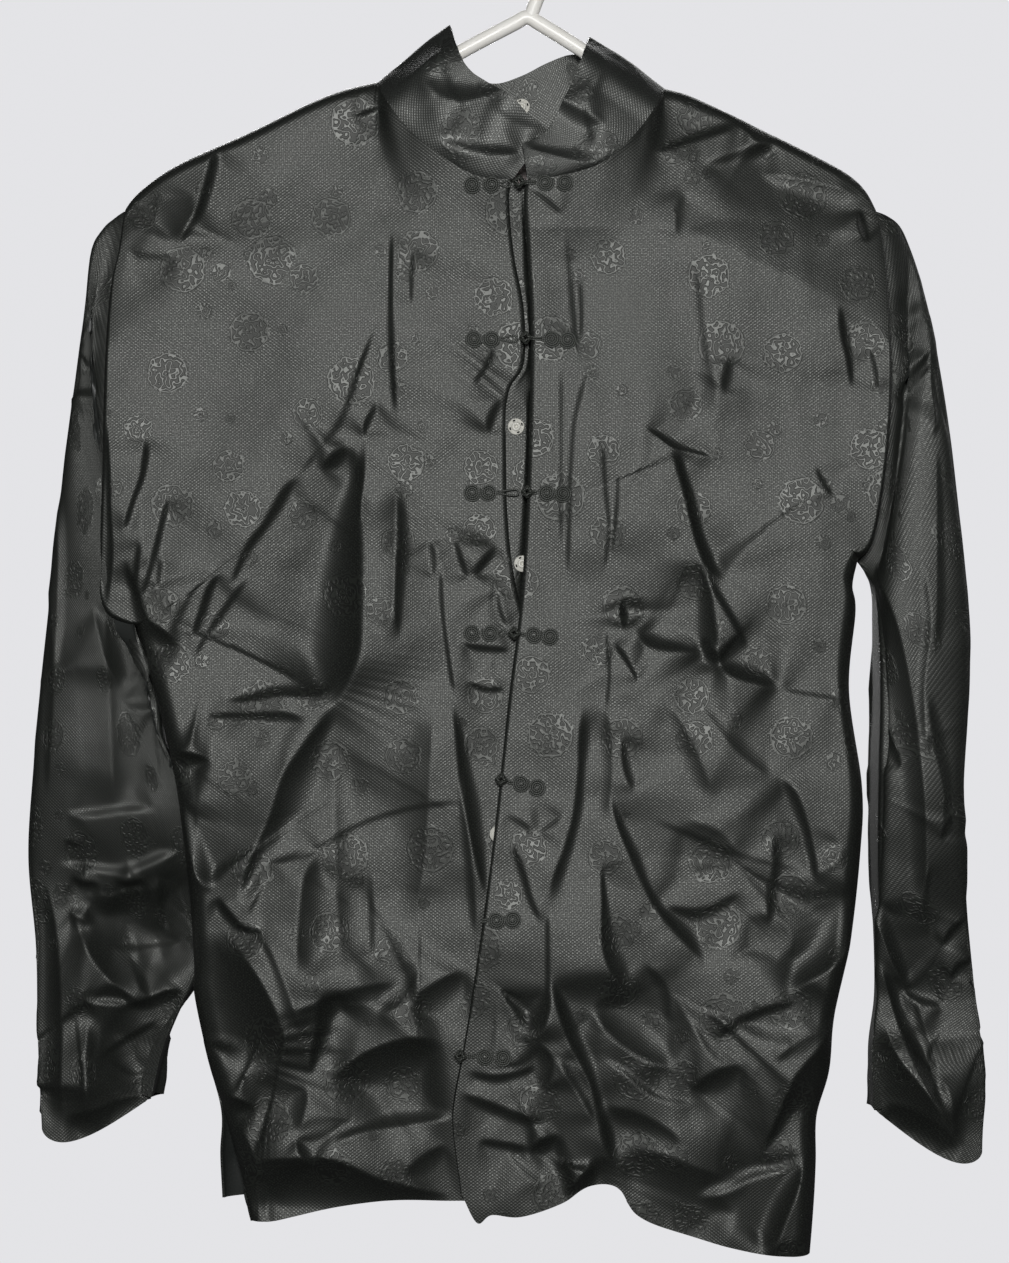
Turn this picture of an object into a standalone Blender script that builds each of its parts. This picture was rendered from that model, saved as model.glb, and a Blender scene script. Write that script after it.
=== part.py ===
"""Tang jacket on a tubular hanger: satin shell with stand collar, frog closures and side vents.

Frame: metres, +Z up, origin at the inner top of the hanger's hook. The front faces -Y and
the wearer's left is at +X. Tables give places in millimetres: across is X and up is Z.
"""
import math

import bmesh
import bpy
import numpy as np
from mathutils import Vector
from mathutils.bvhtree import BVHTree

MM = 0.001

# Cloth and clearances, in millimetres
CLOTH = 1.6              # wall of the lined satin shell
COLLAR_CLOTH = 2.0       # wall of the stiffened collar
SEAM_GAP = 0.3           # gap between two pieces at a seam
HALF_GAP = SEAM_GAP / 2
COLLAR_LIFT = 1.6        # collar's lower edge above the neck seam
SLEEVE_LIFT = 0.9        # sleeve head away from the armhole

# Depths of the hung body, in millimetres each way from the side seams
LEFT_FRONT_DEPTH = 27.0
RIGHT_FRONT_DEPTH = 19.5
BACK_DEPTH = 18.0
SHOULDER_DEPTH = 15.0
ARMHOLE_DEPTH = 12.0
SHOULDER_ROUND = 16.0    # radius of the fold over the shoulder
SIDE_ROUND = 34.0        # how far in from the side the panels round away
SHOULDER_SETTLE = 90.0   # distance below the shoulder where a panel reaches its full depth
NECK_SETTLE = 55.0       # distance below the neck seam over which a panel leaves the seam's depth

# Grid of each panel
NECK_COLUMNS = 6
SHOULDER_COLUMNS = 9
BACK_NECK_COLUMNS = 8
ARMHOLE_ROWS = 10
SIDE_ROWS = 15
COLLAR_COLUMNS = 41
COLLAR_BOW = 1.5         # the band's outward bow between its edges
LAY_GAP = 0.4            # a frog or label above the cloth it is sewn on
FEELER = 1.2             # how far round a place the cloth is felt for its highest point
STUD_SEAT = 0.4          # a press stud above its cloth

# Frog closures, in millimetres
COIL_RADIUS = 6.0
COIL_HEIGHT = 2.2
CORD_WIDTH = 2.4
CORD_HALF = 1.32
CORD_HEIGHT = 1.92
KNOT_RADIUS = 3.6
KNOT_HEIGHT = 6.0
LOOP_RADIUS = 2.6
SHORT_CORD = 3.0
COIL_TURNS = (165, 130, 90, 50)      # where a coil's outline is read, in degrees from its far end
TIP_TURNS = (135, 90, 50, 20)
FROG_COLUMNS = (-1, -0.4, 0.4, 1)    # shares of the half width where its section is read
FROG_RIM = 0.55                      # share of the height left at the rim

# Press studs
STUD_RADIUS = 5.0
STUD_RINGS = ((0.0, 5.0), (1.0, 5.0), (1.2, 2.75), (2.0, 2.5))    # height and radius, flange then boss
STUD_SIDES = 12

# Hanger tube
ARM_RADIUS = 4.6
HOOK_RADIUS = 4.4
HOOK_BEND = 22.0         # centre line radius of the hook
HOOK_END = 205           # angles of the hook's tip and of where its stem leaves, in degrees
HOOK_START = -25
HOOK_POINTS = 18
ARM_POINTS = 33
ARM_GAP = 1.1            # arm below the cloth that rests on it
ARM_MEETS_SEAM = 0.2     # share of the shoulder seam where the arm reaches the cloth
LEFT_ARM_REACH = 0.86    # share of each shoulder seam that its arm reaches
RIGHT_ARM_REACH = 0.82
APEX_UP = -64
STEM = ((13, -38), (7, -51), (1, -67))
ARM_APEX_LEFT = ((8, -68), (38, -87), (62, -105), (85, -121))
ARM_APEX_RIGHT = ((-8, -68), (-40, -85), (-66, -101), (-93, -117))

# Neck seam and top edge of the collar, from the right front's end round the back to the
# left front's end. Depths: negative is towards the front.
#            seam across, seam depth, seam up, top across, top depth, top up
COLLAR = (
    (-9, -26, -169, 14, -20, -139),
    (-25, -25, -168, 1, -19, -129),
    (-39, -24, -163, -9, -18, -118),
    (-56, -22, -152, -25, -17, -108),
    (-72, -18, -139, -35, -15, -101),
    (-87, -10, -120, -42, -11, -90),
    (-93, 0, -105, -48, 0, -69),
    (-80, 14, -121, -41, 18, -88),
    (-54, 21, -134, -32, 25, -98),
    (-29, 24, -141, -19, 28, -101),
    (-4, 25, -142, -3, 29, -96),
    (21, 25, -141, 11, 28, -89),
    (46, 22, -135, 24, 25, -84),
    (73, 14, -121, 35, 18, -82),
    (86, 0, -109, 39, -5, -77),
    (81, -10, -121, 35, -12, -90),
    (71, -17, -136, 29, -15, -107),
    (59, -22, -149, 22, -18, -121),
    (43, -27, -161, 13, -22, -138),
    (19, -31, -168, 4, -26, -145),
    (0, -33, -170, -3, -29, -148),
)
RIGHT_NECK = 6           # row of the seam at the right shoulder
LEFT_NECK = 14           # row of the seam at the left shoulder

# Outlines, in millimetres: (across, up)
RIGHT_SHOULDER = ((-93, -105), (-114, -110), (-135, -118), (-174, -137), (-216, -156), (-241, -173),
                  (-251, -185))
LEFT_SHOULDER = ((86, -109), (103, -114), (141, -132), (179, -151), (199, -162), (210, -172),
                 (217, -185))
RIGHT_ARMHOLE = ((-251, -185), (-254, -211), (-259, -235), (-262, -278), (-264, -354), (-266, -397),
                 (-267, -424), (-261, -438), (-244, -446))
LEFT_ARMHOLE = ((217, -185), (221, -203), (224, -235), (226, -290), (224, -332), (219, -372),
                (214, -394), (206, -404))
RIGHT_SIDE = ((-244, -446), (-238, -469), (-230, -495), (-221, -535), (-212, -595), (-208, -654),
              (-208, -674), (-199, -716), (-189, -748), (-179, -783), (-171, -815))
LEFT_SIDE = ((206, -404), (203, -420), (205, -436), (201, -485), (209, -545), (208, -585), (202, -637),
             (192, -686), (189, -722), (181, -751), (180, -782), (176, -834))
BACK_RIGHT_SIDE = ((-244, -446), (-238, -469), (-230, -495), (-221, -535), (-212, -595), (-208, -654),
                   (-208, -674), (-199, -716), (-191, -748), (-192, -775), (-191, -803))
BACK_LEFT_SIDE = ((206, -404), (203, -420), (205, -436), (201, -485), (209, -545), (208, -585),
                  (202, -637), (192, -686), (187, -722), (178, -751), (176, -782), (171, -818))
RIGHT_HEM = ((5, -800), (-46, -801), (-82, -801), (-117, -806), (-154, -814), (-171, -815))
LEFT_HEM = ((-41, -794), (-31, -813), (-22, -808), (-4, -809), (21, -801), (39, -791), (56, -792),
            (68, -809), (94, -820), (142, -832), (176, -834))
BACK_HEM = ((-191, -803), (-142, -800), (-79, -795), (-17, -788), (46, -780), (108, -796), (171, -818))
RIGHT_EDGE = ((-9, -169), (-11, -181), (-8, -215), (-2, -248), (-2, -282), (-12, -302), (-13, -347),
              (-12, -378), (-9, -408), (-3, -435), (6, -459), (22, -503), (29, -538), (26, -584),
              (21, -623), (13, -706), (5, -800))
LEFT_EDGE = ((0, -170), (-2, -181), (0, -215), (2, -250), (2, -291), (0, -364), (-4, -429),
             (-11, -486), (-19, -560), (-27, -624), (-38, -697), (-45, -734), (-46, -754), (-41, -794))

# Sleeve rings from the armhole to the cuff: outer end, inner end, depth of the ring's middle,
# half its depth and how much of the armhole's curve it keeps
#  outer across, outer up, inner across, inner up, middle depth, half depth, curve
RIGHT_RINGS = (
    (-251, -185, -244, -446, 0, 12, 1.00),
    (-257, -189, -247, -450, 4, 12, 0.93),
    (-264, -196, -249, -455, 8, 14, 0.78),
    (-271, -210, -248, -462, 12, 17, 0.55),
    (-275, -240, -245, -473, 16, 20, 0.30),
    (-281, -284, -238, -490, 20, 23, 0.10),
    (-288, -338, -229, -514, 23, 25, 0.00),
    (-295, -400, -221, -546, 24, 26, 0.00),
    (-303, -470, -214, -583, 24, 27, 0.00),
    (-309, -535, -209, -622, 22, 28, 0.00),
    (-313, -590, -210, -655, 20, 28, 0.00),
    (-309, -645, -219, -686, 18, 29, 0.00),
    (-308, -700, -229, -711, 16, 30, 0.00),
    (-305, -760, -236, -741, 14, 31, 0.00),
)
LEFT_RINGS = (
    (217, -185, 206, -404, 0, 12, 1.00),
    (225, -188, 210, -409, 3, 13, 0.93),
    (233, -194, 213, -413, 5, 17, 0.75),
    (239, -206, 216, -418, 7, 22, 0.50),
    (246, -228, 218, -427, 8, 27, 0.25),
    (253, -258, 219, -442, 10, 32, 0.08),
    (262, -310, 220, -467, 11, 36, 0.00),
    (269, -368, 220, -500, 12, 39, 0.00),
    (275, -430, 219, -536, 12, 41, 0.00),
    (275, -495, 219, -573, 12, 42, 0.00),
    (272, -553, 220, -611, 11, 42, 0.00),
    (275, -610, 221, -645, 10, 42, 0.00),
    (281, -667, 221, -680, 8, 42, 0.00),
    (287, -722, 217, -712, 6, 41, 0.00),
    (286, -774, 218, -748, 4, 40, 0.00),
)

# Largest folds of each panel: start, end, half width and height out of the cloth (minus is a trough)
#           across, up, across, up, half width, height
LEFT_FOLDS = (
    (75, -330, 118, -470, 26, -5.0),
    (50, -400, 45, -520, 22, 3.0),
    (50, -455, 195, -485, 22, 4.0),
    (80, -520, 190, -640, 26, 4.0),
    (30, -590, 110, -720, 26, -4.5),
    (60, -745, 180, -770, 26, 4.0),
)
RIGHT_FOLDS = (
    (-85, -330, -110, -480, 26, -5.0),
    (-85, -370, -160, -400, 22, 3.5),
    (-80, -500, -215, -540, 24, 4.0),
    (-60, -470, -40, -590, 22, 3.5),
    (-75, -560, -175, -600, 24, 3.0),
    (-110, -710, -200, -745, 24, 4.0),
)
BACK_FOLDS = (
    (-110, -330, -95, -520, 28, -4.0),
    (95, -340, 120, -560, 28, -4.0),
    (-190, -480, -60, -560, 26, 3.5),
    (180, -500, 60, -600, 26, 3.5),
    (-150, -640, 130, -700, 28, 4.0),
)

# Frog closures from the neck down: places of the two coils and the cord's end on each side
#   up, right outer coil, right inner coil, loop end, knot, left inner coil, left outer coil, left drop
FROGS = (
    (-172, -34, -22, -10, -5, 11, 23, 0),
    (-267, -33, -22, -6, -1, 15, 25, 1),
    (-362, -34, -24, -5, 0, 12, 22, 1),
    (-449, -34, -23, -13, -8, 4, 14, 2),
    (-539, 0, 10, 24, -16, -4, 6, 5),
    (-626, -7, 4, 17, None, -19, -9, -1),
    (-709, -16, -6, 9, -41, -26, -15, 1),
)

# Press studs: across, up
STUDS_ON_UNDERLAP = ((-6.8, -321), (-3, -406))
STUD_UNDER_EDGE = (-18, -573)
STUD_ON_COLLAR = (-6, -122)

UNDERLAP_TUCK = 5.0      # underlap behind the right front's edge
UNDERLAP_REACH = 15.0    # underlap beyond that edge
UNDERLAP_CLOTH = 1.2
UNDERLAP_GAP = 0.5
UNDERLAP_DROP = 3.0      # underlap's top below the neck seam
LABEL = (-18, 22, -182, -152)    # left, right, bottom and top of the neck label
LABEL_CLOTH = 1.0

# Colours, as linear RGB
SATIN = (0.018, 0.021, 0.019)
CORD = (0.014, 0.016, 0.015)
WHITE_PLASTIC = (0.80, 0.78, 0.72)
CLEAR_PLASTIC = (0.62, 0.62, 0.58)
LABEL_WHITE = (0.78, 0.66, 0.64)


def clear_scene():
    for thing in list(bpy.data.objects):
        bpy.data.objects.remove(thing, do_unlink=True)


def make_collection(name):
    group = bpy.data.collections.new(name)
    bpy.context.scene.collection.children.link(group)
    return group


def make_material(name, colour, roughness, metallic=0.0):
    material = bpy.data.materials.new(name)
    material.use_nodes = True
    shader = material.node_tree.nodes["Principled BSDF"]
    shader.inputs["Base Color"].default_value = (*colour, 1.0)
    shader.inputs["Roughness"].default_value = roughness
    shader.inputs["Metallic"].default_value = metallic
    return material


def add_mesh(name, points_mm, faces, material, group):
    """Object from points in millimetres, smooth but for sharp rims."""
    mesh = bpy.data.meshes.new(name)
    mesh.from_pydata([tuple(float(v) * MM for v in p) for p in points_mm], [], faces)
    mesh.materials.append(material)
    mesh.shade_smooth()
    mesh.set_sharp_from_angle(angle=math.radians(50))
    piece = bpy.data.objects.new(name, mesh)
    group.objects.link(piece)
    return piece


def even_curve(rows, shares):
    """Smooth curve through a table's rows, read at shares of its length."""
    rows = np.asarray(rows, float)
    ends = np.vstack([2 * rows[0] - rows[1], rows, 2 * rows[-1] - rows[-2]])
    steps = np.linspace(0, 1, 12, endpoint=False)[:, None]
    fine = []
    for k in range(len(rows) - 1):
        a, b, c, d = ends[k:k + 4]
        fine.append(0.5 * (2 * b + (c - a) * steps + (2 * a - 5 * b + 4 * c - d) * steps ** 2
                           + (3 * b - a - 3 * c + d) * steps ** 3))
    fine = np.vstack(fine + [rows[-1:]])
    length = np.concatenate([[0], np.cumsum(np.linalg.norm(np.diff(fine, axis=0), axis=1))])
    wanted = np.asarray(shares) * length[-1]
    return np.stack([np.interp(wanted, length, fine[:, k]) for k in range(rows.shape[1])], axis=1)


def quarter_round(share):
    """Rises like a quarter circle from 0 to 1."""
    share = np.clip(share, 0, 1)
    return np.sqrt(1 - (1 - share) ** 2)


def grid_normals(points, wrap=False):
    """Unit normals of a grid of points: down the rows crossed with along the columns."""
    down = np.gradient(points, axis=0)
    if wrap:
        along = np.roll(points, -1, axis=1) - np.roll(points, 1, axis=1)
    else:
        along = np.gradient(points, axis=1)
    normals = np.cross(down, along)
    return normals / np.maximum(np.linalg.norm(normals, axis=2, keepdims=True), 1e-9)


def wall(outer, normals, thickness, wrap=False):
    """Points and faces of a cloth wall whose outer face is a grid."""
    rows, columns = outer.shape[:2]
    inner = outer - thickness * normals
    points = np.vstack([outer.reshape(-1, 3), inner.reshape(-1, 3)])
    count = rows * columns
    faces = []
    last = columns if wrap else columns - 1
    for i in range(rows - 1):
        for j in range(last):
            a = i * columns + j
            b = i * columns + (j + 1) % columns
            c = a + columns
            d = b + columns
            faces.append((a, c, d, b))
            faces.append((a + count, b + count, d + count, c + count))
    for j in range(last):
        a = j
        b = (j + 1) % columns
        faces.append((a, b, b + count, a + count))
        a += (rows - 1) * columns
        b += (rows - 1) * columns
        faces.append((b, a, a + count, b + count))
    if not wrap:
        for i in range(rows - 1):
            a = i * columns
            b = a + columns
            faces.append((b, a, a + count, b + count))
            a += columns - 1
            b += columns - 1
            faces.append((a, b, b + count, a + count))
    return points, faces


def fold_heights(across, up, folds):
    """Height of soft folds at places on a panel."""
    height = np.zeros_like(across)
    for x0, z0, x1, z1, half_width, rise in folds:
        run = np.array([x1 - x0, z1 - z0], float)
        length = np.hypot(*run)
        run /= length
        along = (across - x0) * run[0] + (up - z0) * run[1]
        off = (across - x0) * -run[1] + (up - z0) * run[0]
        taper = np.clip(along / length * 2, 0, 1) * np.clip((length - along) / length * 2, 0, 1)
        height += rise * np.exp(-(off / half_width) ** 2) * np.sin(taper * math.pi / 2) ** 2
    return height


def neck_rows(first, last):
    """Part of the neck seam between two rows of the collar's table."""
    return [row[:3] for row in COLLAR[first:last + 1]]


def side_line(armhole, side, arm, below):
    """Armhole then side seam, read at their shares."""
    return np.vstack([even_curve(armhole, arm), even_curve(side, below)])


def coons(top, bottom, start, end, shares, drops):
    """Grid between four edge curves."""
    s = shares[None, :, None]
    t = drops[:, None, None]
    ruled_down = (1 - t) * top[None] + t * bottom[None]
    ruled_across = (1 - s) * start[:, None] + s * end[:, None]
    corners = (1 - t) * ((1 - s) * top[0] + s * top[-1]) + t * ((1 - s) * bottom[0] + s * bottom[-1])
    return ruled_down + ruled_across - corners


def armhole_depth(share):
    """Half the depth of the armhole, from the shoulder to the underarm."""
    return ARMHOLE_DEPTH * np.sin(math.pi * np.clip(share, 0, 1)) ** 0.6


def row_shares(armhole, side):
    """Shares down the armhole, down the side seam, and down the whole panel."""
    arm = (1 - np.cos(np.linspace(0, math.pi, ARMHOLE_ROWS + 1))) / 2
    below = np.linspace(0, 1, SIDE_ROWS + 1)[1:]
    arm_part = (armhole[0][1] - armhole[-1][1]) / (armhole[0][1] - side[-1][1])
    return arm, below, np.concatenate([arm * arm_part, arm_part + (1 - arm_part) * below])


def shoulder_shares():
    """Shares from the neck to the shoulder's tip, crowded at the tip."""
    return 1 - (1 - np.linspace(0, 1, SHOULDER_COLUMNS + 1)) ** 1.7


def hang(flat, neck, neck_columns, neck_depth, arm, starts_at_side, ends_at_side, depth, folds):
    """Depth of a panel's points: round over the shoulder and sides, seated on the neck seam."""
    across, up = flat[..., 0], flat[..., 1]
    neck_drop = np.zeros(flat.shape[1])
    neck_drop[neck_columns] = np.maximum(max(neck[0, 1], neck[-1, 1]) - neck[:, 1], 0)
    from_top = np.linalg.norm(flat - flat[:1], axis=2)
    below_shoulder = from_top + neck_drop
    rise = quarter_round(below_shoulder / SHOULDER_ROUND)
    rim = np.zeros(len(flat))
    rim[:ARMHOLE_ROWS + 1] = armhole_depth(arm)
    if starts_at_side:
        rise = rise * quarter_round(np.linalg.norm(flat - flat[:, :1], axis=2) / SIDE_ROUND)
    if ends_at_side:
        rise = rise * quarter_round(np.linalg.norm(flat - flat[:, -1:], axis=2) / SIDE_ROUND)
    crown = SHOULDER_DEPTH + (depth - SHOULDER_DEPTH) * np.clip(below_shoulder / SHOULDER_SETTLE, 0, 1)
    result = rim[:, None] * (1 - rise) + crown * rise
    mend = np.zeros(flat.shape[1])
    mend[neck_columns] = neck_depth - result[0, neck_columns]
    result = result + mend * np.clip(1 - from_top / NECK_SETTLE, 0, 1) ** 1.5
    return result + fold_heights(across, up, folds) * rise ** 2


def seat_seams(points, normals, top_seams, sides):
    """Rims of the shoulder and side seams face the other panel across the seam's gap."""
    for columns in top_seams:
        points[0, columns, 1] = np.sign(points[5, columns, 1]) * HALF_GAP
        normals[0, columns, 1] = 0
    for column in sides:
        points[ARMHOLE_ROWS:, column, 1] = np.sign(points[5, 5, 1]) * HALF_GAP
        normals[ARMHOLE_ROWS:, column, 1] = 0
        normals[ARMHOLE_ROWS, column] = normals[ARMHOLE_ROWS + 1, column]
    normals /= np.linalg.norm(normals, axis=2, keepdims=True)


def front_right_grid():
    """Outer points of the wearer's right front, columns from its side to its edge."""
    arm, below, drops = row_shares(RIGHT_ARMHOLE, RIGHT_SIDE)
    neck = even_curve(neck_rows(0, RIGHT_NECK)[::-1], np.linspace(0, 1, NECK_COLUMNS + 1))
    shoulder = even_curve(RIGHT_SHOULDER, shoulder_shares())[::-1]
    top = np.vstack([shoulder, neck[1:, [0, 2]]])
    shoulder_part = SHOULDER_COLUMNS / (SHOULDER_COLUMNS + NECK_COLUMNS)
    shares = np.concatenate([shoulder_part * (1 - shoulder_shares()[::-1]),
                             np.linspace(shoulder_part, 1, NECK_COLUMNS + 1)[1:]])
    start = side_line(RIGHT_ARMHOLE, RIGHT_SIDE, arm, below)
    end = even_curve(RIGHT_EDGE, drops)
    flat = coons(top, even_curve(RIGHT_HEM[::-1], shares), start, end, shares, drops)
    columns = slice(SHOULDER_COLUMNS, None)
    depth = hang(flat, neck[:, [0, 2]], columns, -neck[:, 1], arm, True, False, RIGHT_FRONT_DEPTH,
                 RIGHT_FOLDS)
    points = np.stack([flat[..., 0], -depth, flat[..., 1]], axis=2)
    normals = grid_normals(points)
    seat_seams(points, normals, [slice(0, SHOULDER_COLUMNS + 1)], [0])
    return points, normals


def front_left_grid():
    """Outer points of the wearer's left front, columns from its edge to its side."""
    arm, below, drops = row_shares(LEFT_ARMHOLE, LEFT_SIDE)
    neck = even_curve(neck_rows(LEFT_NECK, len(COLLAR) - 1)[::-1], np.linspace(0, 1, NECK_COLUMNS + 1))
    shoulder = even_curve(LEFT_SHOULDER, shoulder_shares())
    top = np.vstack([neck[:-1, [0, 2]], shoulder])
    neck_part = NECK_COLUMNS / (SHOULDER_COLUMNS + NECK_COLUMNS)
    shares = np.concatenate([np.linspace(0, neck_part, NECK_COLUMNS + 1)[:-1],
                             neck_part + (1 - neck_part) * shoulder_shares()])
    end = side_line(LEFT_ARMHOLE, LEFT_SIDE, arm, below)
    flat = coons(top, even_curve(LEFT_HEM, shares), even_curve(LEFT_EDGE, drops), end, shares, drops)
    columns = slice(0, NECK_COLUMNS + 1)
    depth = hang(flat, neck[:, [0, 2]], columns, -neck[:, 1], arm, False, True, LEFT_FRONT_DEPTH, LEFT_FOLDS)
    points = np.stack([flat[..., 0], -depth, flat[..., 1]], axis=2)
    normals = grid_normals(points)
    seat_seams(points, normals, [slice(NECK_COLUMNS, None)], [-1])
    return points, normals


def back_grid():
    """Outer points of the back, columns from the wearer's left side to the right."""
    arm, below, drops = row_shares(RIGHT_ARMHOLE, BACK_RIGHT_SIDE)
    neck = even_curve(neck_rows(RIGHT_NECK, LEFT_NECK), np.linspace(0, 1, BACK_NECK_COLUMNS + 1))
    right = even_curve(RIGHT_SHOULDER, shoulder_shares())[::-1]
    left = even_curve(LEFT_SHOULDER, shoulder_shares())
    top = np.vstack([right, neck[1:-1, [0, 2]], left])
    across = top[:, 0]
    shares = (across - across[0]) / (across[-1] - across[0])
    start = side_line(RIGHT_ARMHOLE, BACK_RIGHT_SIDE, arm, below)
    end = side_line(LEFT_ARMHOLE, BACK_LEFT_SIDE, arm, below)
    flat = coons(top, even_curve(BACK_HEM, shares), start, end, shares, drops)
    columns = slice(SHOULDER_COLUMNS, SHOULDER_COLUMNS + BACK_NECK_COLUMNS + 1)
    depth = hang(flat, neck[:, [0, 2]], columns, neck[:, 1], arm, True, True, BACK_DEPTH, BACK_FOLDS)
    points = np.stack([flat[..., 0], depth, flat[..., 1]], axis=2)[:, ::-1]
    normals = grid_normals(points)
    shoulders = [slice(0, SHOULDER_COLUMNS + 1), slice(points.shape[1] - SHOULDER_COLUMNS - 1, None)]
    seat_seams(points, normals, shoulders, [0, -1])
    return points, normals


def sleeve_grid(rings, armhole, side):
    """Outer points of a sleeve: rings from the armhole to the cuff, columns round it."""
    arm = (1 - np.cos(np.linspace(0, math.pi, ARMHOLE_ROWS + 1))) / 2
    seam = even_curve(armhole, arm)
    chord = seam[0] + arm[:, None] * (seam[-1] - seam[0])
    bow = seam - chord
    grid = []
    for out_x, out_z, in_x, in_z, middle, half, curve in rings:
        outer_end = np.array([out_x, out_z], float)
        inner_end = np.array([in_x, in_z], float)
        spine = outer_end + arm[:, None] * (inner_end - outer_end) + curve * bow
        plump = half * (2 * np.sqrt(arm * (1 - arm))) ** 0.8
        depth = curve * armhole_depth(arm) + (1 - curve) * plump
        front = np.column_stack([spine[:, 0], middle - depth, spine[:, 1]])
        back = np.column_stack([spine[:, 0], middle + depth, spine[:, 1]])[1:-1]
        ring = np.vstack([front, back[::-1]])
        grid.append(ring if side < 0 else np.roll(ring[::-1], 1, axis=0))
    grid = np.array(grid)
    away = grid[1] - grid[0]
    grid[0] += SLEEVE_LIFT * away / np.linalg.norm(away, axis=1, keepdims=True)
    return grid, grid_normals(grid, wrap=True)


def collar_grid():
    """Outer points of the collar: rows from the neck seam to the top edge, columns round the neck."""
    stations = even_curve(COLLAR, np.linspace(0, 1, COLLAR_COLUMNS))
    seam, top = stations[:, :3], stations[:, 3:]
    rise = top - seam
    seam = seam + COLLAR_LIFT * rise / np.linalg.norm(rise, axis=1, keepdims=True)
    flat = np.array([seam, (seam + top) / 2, top])
    normals = grid_normals(flat)
    flat[1] += COLLAR_BOW * normals[1]
    return flat, grid_normals(flat)


class Surface:
    """A cloth face that other pieces are laid on: finds its depth at a place across and up."""

    def __init__(self, pieces, start_depth, direction):
        points = []
        faces = []
        for piece in pieces:
            first = len(points)
            points += [v.co for v in piece.data.vertices]
            faces += [[first + k for k in p.vertices] for p in piece.data.polygons]
        self.tree = BVHTree.FromPolygons(points, faces)
        self.start = start_depth
        self.direction = direction

    def hits(self, across, up):
        """Depths of the cloth at a place and close round it."""
        found = []
        for dx, dz in ((0, 0), (FEELER, 0), (-FEELER, 0), (0, FEELER), (0, -FEELER)):
            origin = Vector(((across + dx) * MM, self.start * MM, (up + dz) * MM))
            hit = self.tree.ray_cast(origin, Vector((0, self.direction, 0)))[0]
            if hit is None:
                return []
            found.append(self.direction * hit.y / MM)
        return found

    def depth(self, across, up, anchor):
        """Depth in millimetres; a place off the cloth takes the nearest one towards the anchor."""
        for share in np.linspace(0, 1, 61):
            found = self.hits(across + (anchor[0] - across) * share, up + (anchor[1] - up) * share)
            if found:
                return self.direction * min(found)
        raise ValueError("no cloth behind this place")


def lay(surface, anchor, across, up, height):
    """Point that stands a height above a cloth face."""
    depth = surface.depth(across, up, anchor)
    return (across, depth - surface.direction * (LAY_GAP + height), up)


def frog_half(name, surface, up, outer, inner, tip, tip_radius, tip_height, drop, material, group):
    """Two flat coils side by side with their cord, which ends in a knot or in a loop's tip."""
    towards = 1 if tip > outer else -1
    places = []
    for middle in (outer, inner):
        places += [middle + towards * COIL_RADIUS * math.cos(math.radians(a)) for a in COIL_TURNS]
    cord_end = tip + towards * (-tip_radius)
    places += [inner + towards * COIL_RADIUS * 0.97, cord_end + towards * 0.3]
    places += [tip + towards * tip_radius * math.cos(math.radians(a)) for a in TIP_TURNS]
    places = sorted(set(round(p, 3) for p in places), reverse=towards < 0)
    anchor = (inner, up - COIL_RADIUS)
    top = []
    base = []
    for across in places:
        half = CORD_HALF
        height = CORD_HEIGHT
        for middle in (outer, inner):
            if abs(across - middle) < COIL_RADIUS:
                half = max(half, math.sqrt(COIL_RADIUS ** 2 - (across - middle) ** 2))
                height = max(height, COIL_HEIGHT)
        if abs(across - tip) < tip_radius:
            half = max(half, math.sqrt(tip_radius ** 2 - (across - tip) ** 2))
            height = max(height, tip_height * math.sqrt(1 - ((across - tip) / tip_radius) ** 2))
        level = up - drop * (across - tip) / (outer - tip)
        row_top = []
        row_base = []
        for share in FROG_COLUMNS:
            z = level + share * half
            rim = 1 if abs(share) < 1 else FROG_RIM
            row_top.append(lay(surface, anchor, across, z, height * rim))
            row_base.append(lay(surface, anchor, across, z, 0))
        top.append(row_top)
        base.append(row_base)
    return closed_slab(name, np.array(top), np.array(base), material, group)


def closed_slab(name, top, base, material, group):
    """Closed body between two grids of points; the top one faces away from the cloth."""
    rows, columns = top.shape[:2]
    shell, faces = wall(top, np.zeros_like(top), 0)
    points = np.vstack([shell[:rows * columns], base.reshape(-1, 3)])
    piece = add_mesh(name, points, faces, material, group)
    point_outwards(piece)
    return piece


def point_outwards(piece):
    """Turn a closed body's faces to the outside."""
    body = bmesh.new()
    body.from_mesh(piece.data)
    bmesh.ops.recalc_face_normals(body, faces=body.faces)
    body.to_mesh(piece.data)
    body.free()


def stud(name, surface, across, up, material, group):
    """Round press stud: a flat disc with a smaller raised boss."""
    anchor = (across, up)
    turns = [2 * math.pi * k / STUD_SIDES for k in range(STUD_SIDES)]
    felt = [surface.depth(across + STUD_RADIUS * math.cos(a), up + STUD_RADIUS * math.sin(a), anchor)
            for a in turns]
    seat = surface.direction * min(surface.direction * depth for depth in felt)
    points = [(across, seat - surface.direction * STUD_SEAT, up)]
    for height, radius in STUD_RINGS:
        for angle in turns:
            x = across + radius * math.cos(angle)
            z = up + radius * math.sin(angle)
            points.append((x, seat - surface.direction * (STUD_SEAT + height), z))
    faces = []
    for k in range(STUD_SIDES):
        after = (k + 1) % STUD_SIDES
        faces.append((0, 1 + after, 1 + k))
        for ring in range(len(STUD_RINGS) - 1):
            a = 1 + ring * STUD_SIDES
            faces.append((a + k, a + after, a + STUD_SIDES + after, a + STUD_SIDES + k))
    last = 1 + (len(STUD_RINGS) - 1) * STUD_SIDES
    faces.append(tuple(last + k for k in range(STUD_SIDES)))
    piece = add_mesh(name, points, faces, material, group)
    point_outwards(piece)
    return piece


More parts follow.
